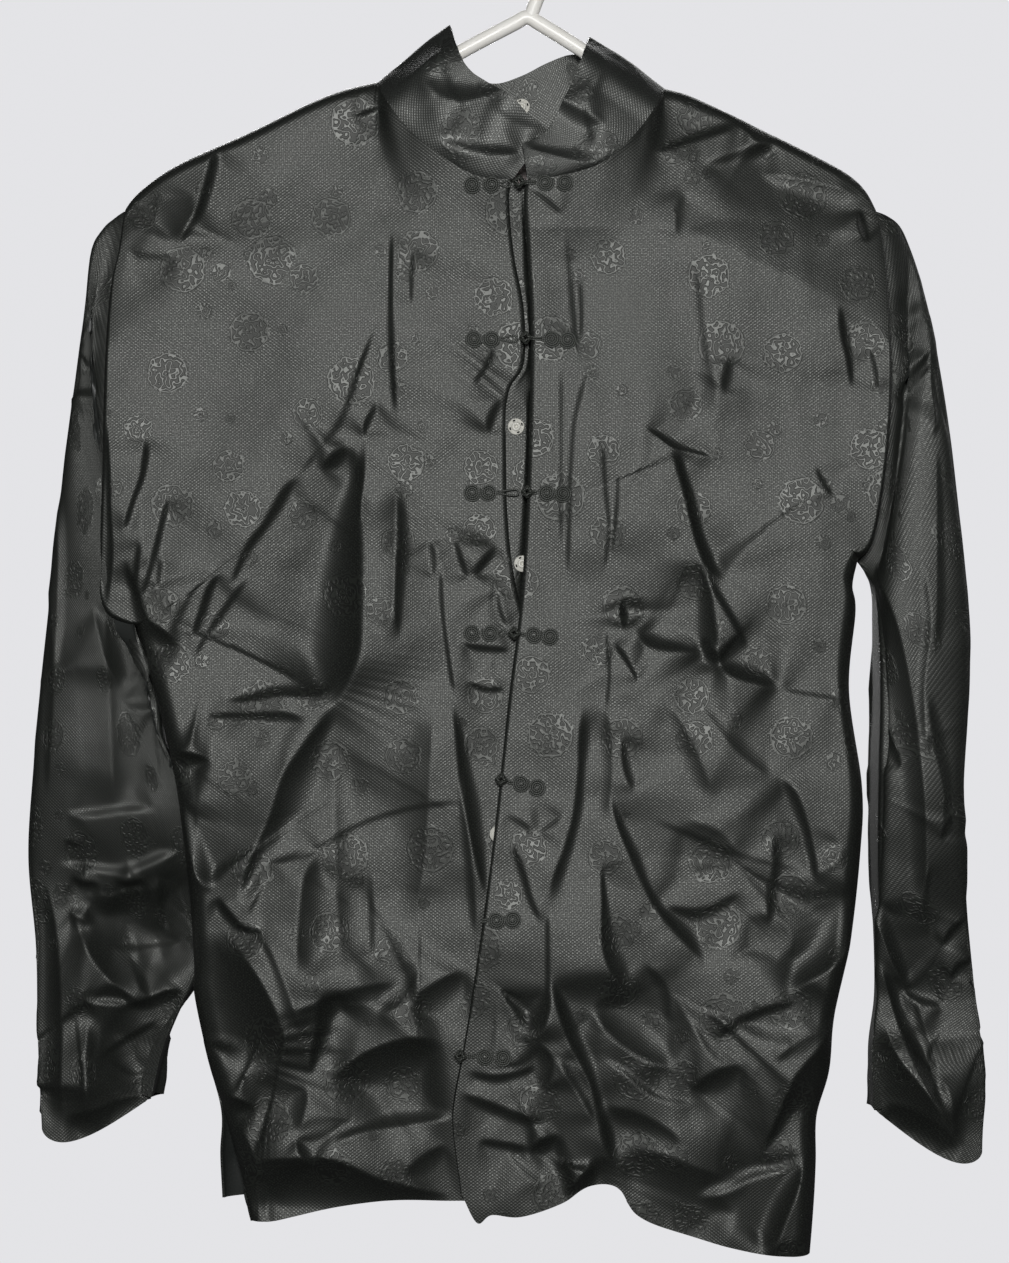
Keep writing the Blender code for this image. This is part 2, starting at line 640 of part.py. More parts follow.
def underlap_strip(surface, material, group):
    """Placket strip behind the right front's edge, showing beyond it."""
    arm, below, drops = row_shares(RIGHT_ARMHOLE, RIGHT_SIDE)
    edge = even_curve(RIGHT_EDGE, drops)
    middle = (edge[0][1] + edge[-1][1]) / 2
    rows = []
    for across, up in edge:
        level = min(up, edge[0][1] - UNDERLAP_DROP)
        row = []
        for step in (-UNDERLAP_TUCK, 0, UNDERLAP_REACH / 2, UNDERLAP_REACH):
            depth = surface.depth(across + step, level, (across - 15, level + (middle - level) * 0.02))
            row.append((across + step, depth + CLOTH + UNDERLAP_GAP, level))
        rows.append(row)
    outer = np.array(rows)
    keep = [0] + [k for k in range(1, len(outer)) if outer[k, 0, 2] < outer[k - 1, 0, 2] - 1]
    outer = outer[keep]
    points, faces = wall(outer, grid_normals(outer), UNDERLAP_CLOTH)
    return add_mesh("underlap", points, faces, material, group)


def neck_label(surface, material, group):
    """Blank woven label sewn inside the back neck."""
    left, right, bottom, top = LABEL
    middle = ((left + right) / 2, bottom)
    face = []
    back = []
    for up in np.linspace(top, bottom, 4):
        columns = np.linspace(left, right, 5)
        face.append([lay(surface, middle, x, up, LABEL_CLOTH) for x in columns])
        back.append([lay(surface, middle, x, up, 0) for x in columns])
    return closed_slab("neck_label", np.array(face), np.array(back), material, group)


def tube(name, places, radius, group):
    """Curve of round section through places in millimetres, made a closed mesh."""
    line = bpy.data.curves.new(name, "CURVE")
    line.dimensions = "3D"
    line.bevel_depth = radius * MM
    line.bevel_resolution = 2
    line.use_fill_caps = True
    spline = line.splines.new("POLY")
    spline.points.add(len(places) - 1)
    for point, place in zip(spline.points, places):
        point.co = (*[float(v) * MM for v in place], 1)
    holder = bpy.data.objects.new(name + "_line", line)
    group.objects.link(holder)
    bpy.context.view_layer.update()
    mesh = bpy.data.meshes.new_from_object(holder.evaluated_get(bpy.context.evaluated_depsgraph_get()))
    bpy.data.objects.remove(holder, do_unlink=True)
    body = bmesh.new()
    body.from_mesh(mesh)
    bmesh.ops.remove_doubles(body, verts=body.verts, dist=0.00001)
    bmesh.ops.recalc_face_normals(body, faces=body.faces)
    body.to_mesh(mesh)
    body.free()
    piece = bpy.data.objects.new(name, mesh)
    group.objects.link(piece)
    return piece


def arm_line(shoulder, visible, reach):
    """Centre line of a hanger arm: down to the apex, then along the inside of the shoulder seam."""
    seam = even_curve(shoulder, np.linspace(ARM_MEETS_SEAM, reach, 8))
    along = np.gradient(seam, axis=0)
    along /= np.linalg.norm(along, axis=1, keepdims=True)
    down = np.column_stack([along[:, 1], -along[:, 0]])
    down *= -np.sign(down[:, 1:])
    centre = seam + (CLOTH + ARM_GAP + ARM_RADIUS) * down
    return np.vstack([np.array(visible, float), centre])


def hanger(material, group, cutters):
    """Moulded tubular hanger: two sloping arms and a question-mark hook, one body."""
    left = arm_line(LEFT_SHOULDER, ARM_APEX_LEFT, LEFT_ARM_REACH)
    right = arm_line(RIGHT_SHOULDER, ARM_APEX_RIGHT, RIGHT_ARM_REACH)
    path = np.vstack([right[::-1], [[0, APEX_UP]], left])
    path = even_curve(path, np.linspace(0, 1, ARM_POINTS))
    arms = tube("hanger", [(x, 0, z) for x, z in path], ARM_RADIUS, group)
    centre_up = HOOK_RADIUS - HOOK_BEND
    turn = np.radians(np.linspace(HOOK_END, HOOK_START, HOOK_POINTS))
    bend = [(HOOK_BEND * math.cos(a), 0, centre_up + HOOK_BEND * math.sin(a)) for a in turn]
    stem = [(x, 0, z) for x, z in STEM]
    hook = tube("hook_part", bend + stem, HOOK_RADIUS, cutters)
    hook.hide_render = True
    hook.display_type = "WIRE"
    join = arms.modifiers.new("hook", "BOOLEAN")
    join.operation = "UNION"
    join.solver = "EXACT"
    join.object = hook
    arms.data.materials.append(material)
    arms.data.shade_smooth()
    arms.data.set_sharp_from_angle(angle=math.radians(50))
    return arms


def build_jacket():
    clear_scene()
    group = make_collection("tang_jacket")
    cutters = make_collection("hanger_cutters")
    satin = make_material("black_satin", SATIN, 0.38)
    cord = make_material("black_cord", CORD, 0.45)
    white = make_material("white_polypropylene", WHITE_PLASTIC, 0.4)
    clear = make_material("clear_acetal", CLEAR_PLASTIC, 0.3)
    label = make_material("label_tape", LABEL_WHITE, 0.8)

    pieces = {}
    for name, (outer, normals) in (("front_right", front_right_grid()), ("front_left", front_left_grid()),
                                   ("back", back_grid())):
        pieces[name] = add_mesh(name, *wall(outer, normals, CLOTH), satin, group)
    for name, rings, armhole, side in (("sleeve_right", RIGHT_RINGS, RIGHT_ARMHOLE, -1),
                                       ("sleeve_left", LEFT_RINGS, LEFT_ARMHOLE, 1)):
        outer, normals = sleeve_grid(rings, armhole, side)
        add_mesh(name, *wall(outer, normals, CLOTH, wrap=True), satin, group)
    outer, normals = collar_grid()
    pieces["collar"] = add_mesh("collar", *wall(outer, normals, COLLAR_CLOTH), satin, group)
    bpy.context.view_layer.update()

    on_right = Surface([pieces["front_right"], pieces["collar"]], -120, 1)
    on_left = Surface([pieces["front_left"], pieces["collar"]], -120, 1)
    right_panel = Surface([pieces["front_right"]], -120, 1)
    under_left = Surface([pieces["front_left"]], 0, -1)
    inside_back = Surface([pieces["back"]], 0, 1)
    inside_collar = Surface([pieces["collar"]], 5, 1)
    strip = underlap_strip(right_panel, satin, group)
    on_strip = Surface([strip], -120, 1)
    neck_label(inside_back, label, group)
    hanger(white, group, cutters)

    for k, (up, right_outer, right_inner, loop_end, knot, left_inner, left_outer, drop) in enumerate(FROGS,
                                                                                                     1):
        frog_half(f"frog_loop_{k}", on_right, up, right_outer, right_inner, loop_end - LOOP_RADIUS,
                  LOOP_RADIUS, CORD_WIDTH, 0, cord, group)
        if knot is None:
            end = left_inner - COIL_RADIUS - SHORT_CORD
            frog_half(f"frog_knot_{k}", on_left, up, left_outer, left_inner, end, CORD_WIDTH, CORD_WIDTH,
                      drop, cord, group)
        else:
            frog_half(f"frog_knot_{k}", on_left, up, left_outer, left_inner, knot, KNOT_RADIUS,
                      KNOT_HEIGHT, drop, cord, group)

    for k, (across, up) in enumerate(STUDS_ON_UNDERLAP, 1):
        stud(f"stud_{k}", on_strip, across, up, clear, group)
    stud("stud_3", under_left, *STUD_UNDER_EDGE, clear, group)
    stud("stud_collar", inside_collar, *STUD_ON_COLLAR, clear, group)


build_jacket()
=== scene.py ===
"""Tang jacket of black jacquard satin on a white hanger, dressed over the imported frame.

Frame: metres, +Z up, origin at the inner top of the hanger's hook, front towards -Y.
Tables give places in millimetres: across is X and up is Z.
"""
import math
import bpy
import numpy as np
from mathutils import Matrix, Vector
from mathutils.bvhtree import BVHTree


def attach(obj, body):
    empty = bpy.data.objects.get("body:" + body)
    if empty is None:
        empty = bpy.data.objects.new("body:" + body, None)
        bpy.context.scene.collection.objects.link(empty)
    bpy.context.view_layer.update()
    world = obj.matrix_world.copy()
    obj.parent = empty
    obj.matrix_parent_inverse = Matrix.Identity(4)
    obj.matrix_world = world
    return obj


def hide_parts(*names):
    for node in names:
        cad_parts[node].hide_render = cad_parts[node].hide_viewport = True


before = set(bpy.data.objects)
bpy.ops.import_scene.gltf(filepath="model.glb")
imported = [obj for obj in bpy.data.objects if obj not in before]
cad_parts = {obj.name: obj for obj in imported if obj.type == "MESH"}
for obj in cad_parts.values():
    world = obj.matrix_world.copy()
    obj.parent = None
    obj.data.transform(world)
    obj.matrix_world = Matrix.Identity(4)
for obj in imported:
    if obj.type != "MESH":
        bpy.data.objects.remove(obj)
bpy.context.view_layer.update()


# View, floor and light. A level view of the whole front from two metres and a plain pale floor
# well below the hem. The key lamp stands just above and behind the view: satin that faces it
# shines, and the tilted sides of folds go dark. Weaker lamps light the sides, back and floor.
VIEW_PLACE = (-0.014, -2.0, -0.448)
VIEW_LENS = 91.2
SENSOR_WIDTH = 36.0
FARTHEST_SEEN = 50
FLOOR_UP = -1.6
FLOOR_SIDE = 4.4
PALE = "#E9E9EC"
ROOM_SEEN = 0.95         # brightness of the room to the eye,
ROOM_LIGHT = 0.05        # and as a light on the jacket
LAMPS = (
    # name, place, width, power, aim
    ("key", (-0.06, -2.4, -0.03), 0.5, 46, (0.0, 0.0, -0.45)),
    ("fill", (-1.7, -1.6, -0.3), 1.6, 1.2, (0.0, 0.0, -0.5)),
    ("back_lamp", (-0.3, 2.4, 0.3), 1.0, 40, (0.0, 0.0, -0.45)),
    ("floor_lamp", (0.0, 1.8, 0.6), 1.6, 24, (0.0, 1.0, -1.6)),
    ("side_lamp", (2.4, 0.9, 0.6), 1.2, 6, (0.0, 0.0, -0.45)),
)


def linear(code):
    """Linear colour of an sRGB hex code."""
    parts = [int(code[k:k + 2], 16) / 255 for k in (1, 3, 5)]
    return tuple(p / 12.92 if p <= 0.04045 else ((p + 0.055) / 1.055) ** 2.4 for p in parts) + (1.0,)


def add(tree, kind, inputs=(), **settings):
    """A node with its settings, and its inputs set or linked."""
    made = tree.nodes.new(kind)
    for key, value in settings.items():
        setattr(made, key, value)
    for key, value in dict(inputs).items():
        if isinstance(value, bpy.types.NodeSocket):
            tree.links.new(value, made.inputs[key])
        else:
            made.inputs[key].default_value = value
    return made


def finish_of(name, colour, **sockets):
    """A material named for its finish, with its shader and its node tree."""
    material = bpy.data.materials.new(name)
    material.use_nodes = True
    shader = material.node_tree.nodes["Principled BSDF"]
    shader.inputs["Base Color"].default_value = linear(colour)
    for key, value in sockets.items():
        shader.inputs[key.replace("_", " ").title().replace("Ior", "IOR")].default_value = value
    return material, shader, material.node_tree


def aim(thing, target):
    """Turn a lamp or camera towards a place."""
    direction = Vector(target) - thing.location
    thing.rotation_euler = direction.to_track_quat("-Z", "Y").to_euler()


view = bpy.data.objects.new("view", bpy.data.cameras.new("view"))
view.data.lens = VIEW_LENS
view.data.sensor_width = SENSOR_WIDTH
view.location = VIEW_PLACE
view.rotation_euler = (math.pi / 2, 0, 0)
view.data.clip_end = FARTHEST_SEEN
bpy.context.scene.collection.objects.link(view)
bpy.context.scene.camera = view
bpy.context.scene.view_settings.view_transform = "Standard"

for lamp_name, place, width, power, target in LAMPS:
    lamp = bpy.data.objects.new(lamp_name, bpy.data.lights.new(lamp_name, "AREA"))
    lamp.data.shape = "DISK"
    lamp.data.size = width
    lamp.data.energy = power
    lamp.location = place
    aim(lamp, target)
    bpy.context.scene.collection.objects.link(lamp)

world = bpy.data.worlds.new("pale_room")
world.use_nodes = True
bpy.context.scene.world = world
sky = world.node_tree
sky.nodes.clear()
seen = add(sky, "ShaderNodeLightPath").outputs["Is Camera Ray"]
dim = add(sky, "ShaderNodeBackground", {"Color": linear(PALE), "Strength": ROOM_LIGHT}).outputs[0]
pale = add(sky, "ShaderNodeBackground", {"Color": linear(PALE), "Strength": ROOM_SEEN}).outputs[0]
room = add(sky, "ShaderNodeMixShader", {0: seen, 1: dim, 2: pale}).outputs[0]
add(sky, "ShaderNodeOutputWorld", {"Surface": room})

half = FLOOR_SIDE / 2
floor_mesh = bpy.data.meshes.new("floor")
floor_mesh.from_pydata([(-half, -half, FLOOR_UP), (half, -half, FLOOR_UP), (half, half, FLOOR_UP),
                        (-half, half, FLOOR_UP)], [], [(0, 1, 2, 3)])
floor = bpy.data.objects.new("floor", floor_mesh)
bpy.context.scene.collection.objects.link(floor)
# matt paint, even and without shine
floor_mesh.materials.append(finish_of("pale_matt_floor", PALE, roughness=0.8)[0])
# the floor throws no light up, so folds that face down stay nearly black
floor.visible_diffuse = False
floor.visible_glossy = False


# Back. One width of jacquard satin hung from the shoulder seams, lined with plain black cloth,
# joined to the fronts down to the vents and left free below them.
MM = 0.001
CLOTH = 1.6              # satin and lining together
SEAM_GAP = 0.1           # between two panels at a seam
BACK_DEPTH = 18.0        # how far the back stands off the plane of the seams,
SHOULDER_DEPTH = 15.0    # and how far at the shoulder
ARMHOLE_DEPTH = 12.0     # half the armhole's depth
SHOULDER_ROUND = 10.0    # a panel rounds away to its seams over these distances
SIDE_ROUND = 34.0
FRONT_SIDE_ROUND = 13.0
FRONT_ARM_ROUND = 4.0
UNDERARM_ROWS = (16, 12)  # rows above and below the underarm where a front's round grows
SHOULDER_SETTLE = 90.0   # distance below the shoulder where a panel has its full depth
NECK_SETTLE = 55.0       # the neck seam draws the cloth in as far as this
VENT_TOP = -748.0        # the side seams end here
VENT_SPREAD = 7.0        # how far a free side edge stands off at the hem
SHOULDER_COLUMNS = 54    # columns and rows of the back; the fronts have their own
BACK_NECK_COLUMNS = 50
ARMHOLE_ROWS = 112
SIDE_ROWS = 150
LAP_CALM = 24.0          # the folds stay low this close to a front edge,
LAP_SHARE = 0.45         # and have this share of their height along it
EDGE_TURNS = {-1: (1.8, 2.2), 1: (1.5, 2.6)}   # width and depth of the roll along each front's edge
LEAST_DEPTH = 3.0        # no panel comes nearer than this to the plane of the seams
BELLY = 5.0              # the fronts stand out this much more at the waist,
BELLY_TOP = -380         # from here down,
BELLY_RUN = 240          # and fully this much lower
HEM_START = -640.0       # from here down the free hem of a front swings back,
HEM_TUCK = 6.0           # by this much at the bottom
SEAM_CALM = 30           # the cloth's waviness grows over this distance from the shoulder seam
SETTLE = 44.0            # how far from a fold the cloth has settled back
NARROW = 0.7             # sharp folds are this much higher than their width gives
RELIEF = 1.15            # height of all the folds of the body
CRISP = 62               # degrees; a sharper edge stays an edge
THREAD_FIGURE = 0.00015  # how far the woven figures stand out, in metres
ROUNDEL_SPACING = 0.051  # mean distance between the large roundels, in metres
WAVES = ((150, 0.8), (90, 0.3), (52, 0.14), (30, 0.06), (18, 0.03))   # length and height of each

# Neck seam and top edge of the collar, from the right front's end round the back to the left
# front's end: seam across, seam depth, seam up, top across, top depth, top up
COLLAR = (
    (-9, -26, -169, 14, -20, -139),
    (-25, -25, -168, 1, -19, -129),
    (-39, -24, -163, -9, -18, -118),
    (-56, -25, -152, -25, -17, -108),
    (-72, -24, -139, -35, -15, -101),
    (-87, -21, -120, -42, -11, -90),
    (-93, 0, -105, -48, 0, -69),
    (-80, 14, -121, -41, 18, -88),
    (-54, 21, -134, -32, 25, -98),
    (-29, 24, -141, -19, 28, -101),
    (-4, 25, -142, -3, 29, -96),
    (21, 25, -141, 11, 28, -89),
    (46, 22, -135, 24, 25, -84),
    (73, 14, -121, 35, 18, -82),
    (86, 0, -109, 39, -5, -77),
    (81, -24, -121, 35, -12, -90),
    (71, -28, -136, 29, -15, -107),
    (59, -30, -149, 22, -18, -121),
    (43, -31, -161, 13, -22, -138),
    (19, -31, -168, 4, -26, -145),
    (0, -33, -170, -3, -29, -148),
)
RIGHT_NECK = 6
LEFT_NECK = 14
RIGHT_SHOULDER = ((-93, -105), (-114, -110), (-135, -118), (-174, -137), (-216, -156), (-241, -173),
                  (-251, -185))
LEFT_SHOULDER = ((86, -109), (103, -114), (141, -132), (179, -151), (199, -162), (210, -172),
                 (217, -185))
RIGHT_ARMHOLE = ((-251, -185), (-254, -211), (-259, -235), (-262, -278), (-264, -354), (-266, -397),
                 (-267, -424), (-261, -438), (-244, -446))
LEFT_ARMHOLE = ((217, -185), (221, -203), (224, -235), (226, -290), (224, -332), (219, -372),
                (214, -394), (206, -404))
BACK_RIGHT_SIDE = ((-244, -446), (-238, -469), (-230, -495), (-221, -535), (-212, -595), (-208, -654),
                   (-208, -674), (-199, -716), (-191, -748), (-192, -775), (-191, -803))
BACK_LEFT_SIDE = ((206, -404), (203, -420), (205, -436), (201, -485), (209, -545), (208, -585),
                  (202, -637), (192, -686), (187, -722), (178, -751), (176, -782), (171, -818))
BACK_HEM = ((-191, -803), (-142, -800), (-79, -795), (-17, -788), (46, -780), (108, -796), (171, -818))

# Folds: tilt of the steep side, then places along it as across, up and width of the steep side.
RIGHT_FOLDS = (
    (0.46, ((-261, -316, 1.9), (-260, -347, 4.4), (-259, -372, 3.1), (-259, -403, 5), (-263, -436, 4.4))),
    (0.5, ((-84, -198, 2.5), (-85, -241, 3.1), (-84, -284, 3.1), (-82, -316, 3.8))),
    (0.3, ((-71, -211, 2.5), (-72, -231, 3.1), (-72, -247, 2.5))),
    (-0.62, ((-191, -144, 5), (-196, -169, 6.9), (-202, -188, 5.6), (-211, -203, 3.8), (-217, -211, 1.9))),
    (0.2, ((-207, -176, 12.5), (-218, -192, 25), (-222, -207, 18.8))),
    (-0.45, ((-92, -306, 1.9), (-98, -318, 5), (-101, -328, 3.1))),
    (0.6, ((-101, -328, 2.5), (-105, -347, 8.8), (-111, -372, 16.2), (-114, -397, 23.8), (-117, -428, 30),
            (-119, -459, 31.2), (-124, -483, 21.2), (-133, -497, 7.5))),
    (-0.55, ((-109, -333, 6.2), (-118, -342, 9.4), (-129, -349, 3.8))),
    (-0.5, ((-139, -351, 3.8), (-147, -359, 5.6), (-154, -371, 6.2), (-162, -383, 4.4), (-169, -392, 5),
            (-176, -403, 2.5), (-184, -422, 1.9))),
    (-0.36, ((-93, -259, 1.9), (-103, -284, 3.1), (-114, -316, 3.8), (-129, -336, 2.5), (-143, -354, 1.9))),
    (-0.55, ((-190, -411, 3.1), (-196, -423, 5), (-201, -438, 5), (-207, -453, 3.8))),
    (-0.35, ((-172, -414, 1.9), (-186, -433, 3.8), (-200, -454, 3.1), (-207, -467, 1.9))),
    (0.16, ((-89, -347, 16.2), (-91, -391, 18.8), (-92, -428, 18.8), (-94, -459, 15))),
    (-0.34, ((-78, -359, 5), (-76, -391, 7.5), (-78, -422, 6.2), (-80, -456, 3.1))),
    (-0.5, ((-221, -362, 2.5), (-226, -384, 3.8), (-232, -409, 3.8), (-238, -429, 2.5))),
    (-0.55, ((-234, -327, 5), (-237, -350, 3.8), (-243, -367, 3.1), (-249, -388, 5))),
    (0.45, ((-240, -391, 3.1), (-242, -409, 3.8), (-244, -428, 2.5))),
    (-0.4, ((-226, -402, 3.8), (-228, -422, 2.5))),
    (0.6, ((-251, -403, 5), (-244, -422, 6.2), (-238, -442, 8.8), (-226, -453, 11.2), (-213, -459, 6.2))),
    (-0.4, ((-108, -129, 2.5), (-98, -126, 3.8), (-88, -122, 2.5))),
    (0.36, ((-45, -391, 2.5), (-40, -409, 4.4), (-36, -416, 2.5))),
    (-0.5, ((-17, -394, 3.1), (-24, -403, 5.6), (-33, -415, 2.5))),
    (-0.4, ((-19, -272, 1.9), (-26, -286, 3.8), (-34, -296, 2.5))),
    (-0.85, ((3, -289, 3.1), (-3, -299, 7.5), (-9, -307, 10), (-14, -311, 3.1))),
    (-0.75, ((-14, -302, 2.5), (-19, -311, 5), (-22, -319, 5.6), (-24, -327, 2.5))),
    (0.45, ((-19, -422, 2.5), (-17, -436, 4.4), (-12, -446, 2.5))),
    (0.42, ((-118, -482, 5), (-136, -484, 8.1), (-154, -484, 7.5), (-176, -489, 5), (-189, -490, 2.5))),
    (-0.45, ((-112, -491, 6.2), (-119, -500, 10), (-127, -511, 10), (-133, -523, 15), (-141, -542, 22.5),
            (-152, -566, 16.2), (-165, -584, 7.5), (-173, -603, 6.2), (-178, -619, 3.1))),
    (-0.36, ((-201, -501, 5.6), (-176, -501, 5.6), (-149, -502, 8.1), (-134, -506, 6.2))),
    (-0.8, ((-222, -523, 6.2), (-211, -527, 9.4), (-201, -528, 6.9), (-194, -529, 2.5))),
    (-0.62, ((-212, -553, 5), (-204, -581, 11.2), (-197, -598, 13.8), (-191, -606, 5))),
    (-0.6, ((-194, -612, 6.2), (-184, -625, 6.2), (-176, -632, 4.4), (-162, -634, 2.5))),
    (-0.3, ((-128, -584, 6.2), (-131, -603, 15), (-132, -634, 18.8), (-137, -662, 10))),
    (0.5, ((-197, -631, 12.5), (-187, -656, 31.2), (-177, -684, 43.8), (-172, -706, 43.8),
            (-179, -725, 21.2))),
    (0.3, ((-166, -634, 3.1), (-157, -653, 5.6), (-147, -681, 8.8), (-141, -697, 5))),
    (-0.66, ((-118, -667, 10), (-122, -680, 13.8), (-126, -694, 8.1), (-130, -708, 5.6),
            (-134, -723, 3.8))),
    (0.3, ((-137, -728, 6.2), (-142, -743, 10), (-143, -757, 6.2))),
    (-0.34, ((-36, -658, 8.8), (-49, -669, 16.2), (-62, -678, 17.5), (-73, -683, 6.2))),
    (-0.3, ((-142, -682, 5), (-123, -678, 10), (-99, -672, 11.2), (-79, -666, 5))),
    (-0.5, ((-123, -727, 6.2), (-106, -722, 18.8), (-87, -716, 26.2), (-67, -709, 22.5), (-48, -704, 8.8))),
    (-0.66, ((-194, -734, 5), (-184, -741, 11.2), (-173, -744, 10), (-166, -746, 3.1))),
    (0.46, ((-123, -763, 3.1), (-104, -754, 6.9), (-79, -749, 9.4), (-44, -745, 7.5))),
    (-0.55, ((-142, -759, 3.8), (-136, -769, 7.5), (-129, -777, 4.4))),
    (-0.55, ((-184, -783, 15), (-166, -789, 31.2), (-126, -790, 35), (-94, -796, 21.2), (-67, -799, 12.5),
            (-44, -801, 6.2))),
    (0.3, ((-182, -753, 5), (-174, -772, 8.8), (-173, -791, 10), (-173, -808, 8.8))),
    (-0.24, ((-49, -766, 5), (-61, -777, 12.5), (-76, -786, 8.8))),
    (0.34, ((-54, -403, 2.5), (-53, -434, 3.1), (-49, -466, 3.1), (-45, -491, 4.4))),
    (-0.46, ((-45, -491, 3.1), (-40, -519, 6.9), (-36, -544, 10.6), (-31, -569, 10.6), (-27, -596, 6.9),
            (-24, -616, 3.8))),
    (0.3, ((-61, -391, 3.1), (-59, -401, 5.6), (-58, -416, 2.5))),
    (-0.36, ((-41, -456, 3.1), (-29, -459, 4.4), (-10, -460, 3.8))),
    (-0.34, ((-38, -479, 2.5), (-27, -484, 3.8), (-13, -484, 3.1))),
    (0.26, ((-42, -528, 3.8), (-41, -553, 5.6), (-38, -584, 6.2), (-35, -616, 6.2), (-33, -641, 3.8))),
    (-0.2, ((-36, -553, 2.5), (-67, -557, 3.8), (-101, -567, 3.8), (-129, -582, 4.4), (-151, -592, 3.1))),
    (0.24, ((-98, -597, 3.1), (-97, -622, 4.4), (-96, -653, 3.8))),
    (0.14, ((-67, -491, 18.8), (-71, -541, 21.2), (-73, -591, 18.8), (-77, -628, 12.5))),
    (-0.16, ((-114, -516, 12.5), (-112, -566, 13.8), (-111, -616, 12.5), (-109, -666, 8.8))),
    (-0.2, ((-248, -213, 3.8), (-234, -217, 6.2), (-216, -217, 3.8))),
    (0.22, ((-67, -653, 6.2), (-79, -672, 10), (-95, -684, 6.2))),
    (0.26, ((-162, -591, 3.8), (-144, -586, 6.2), (-126, -582, 5))),
)
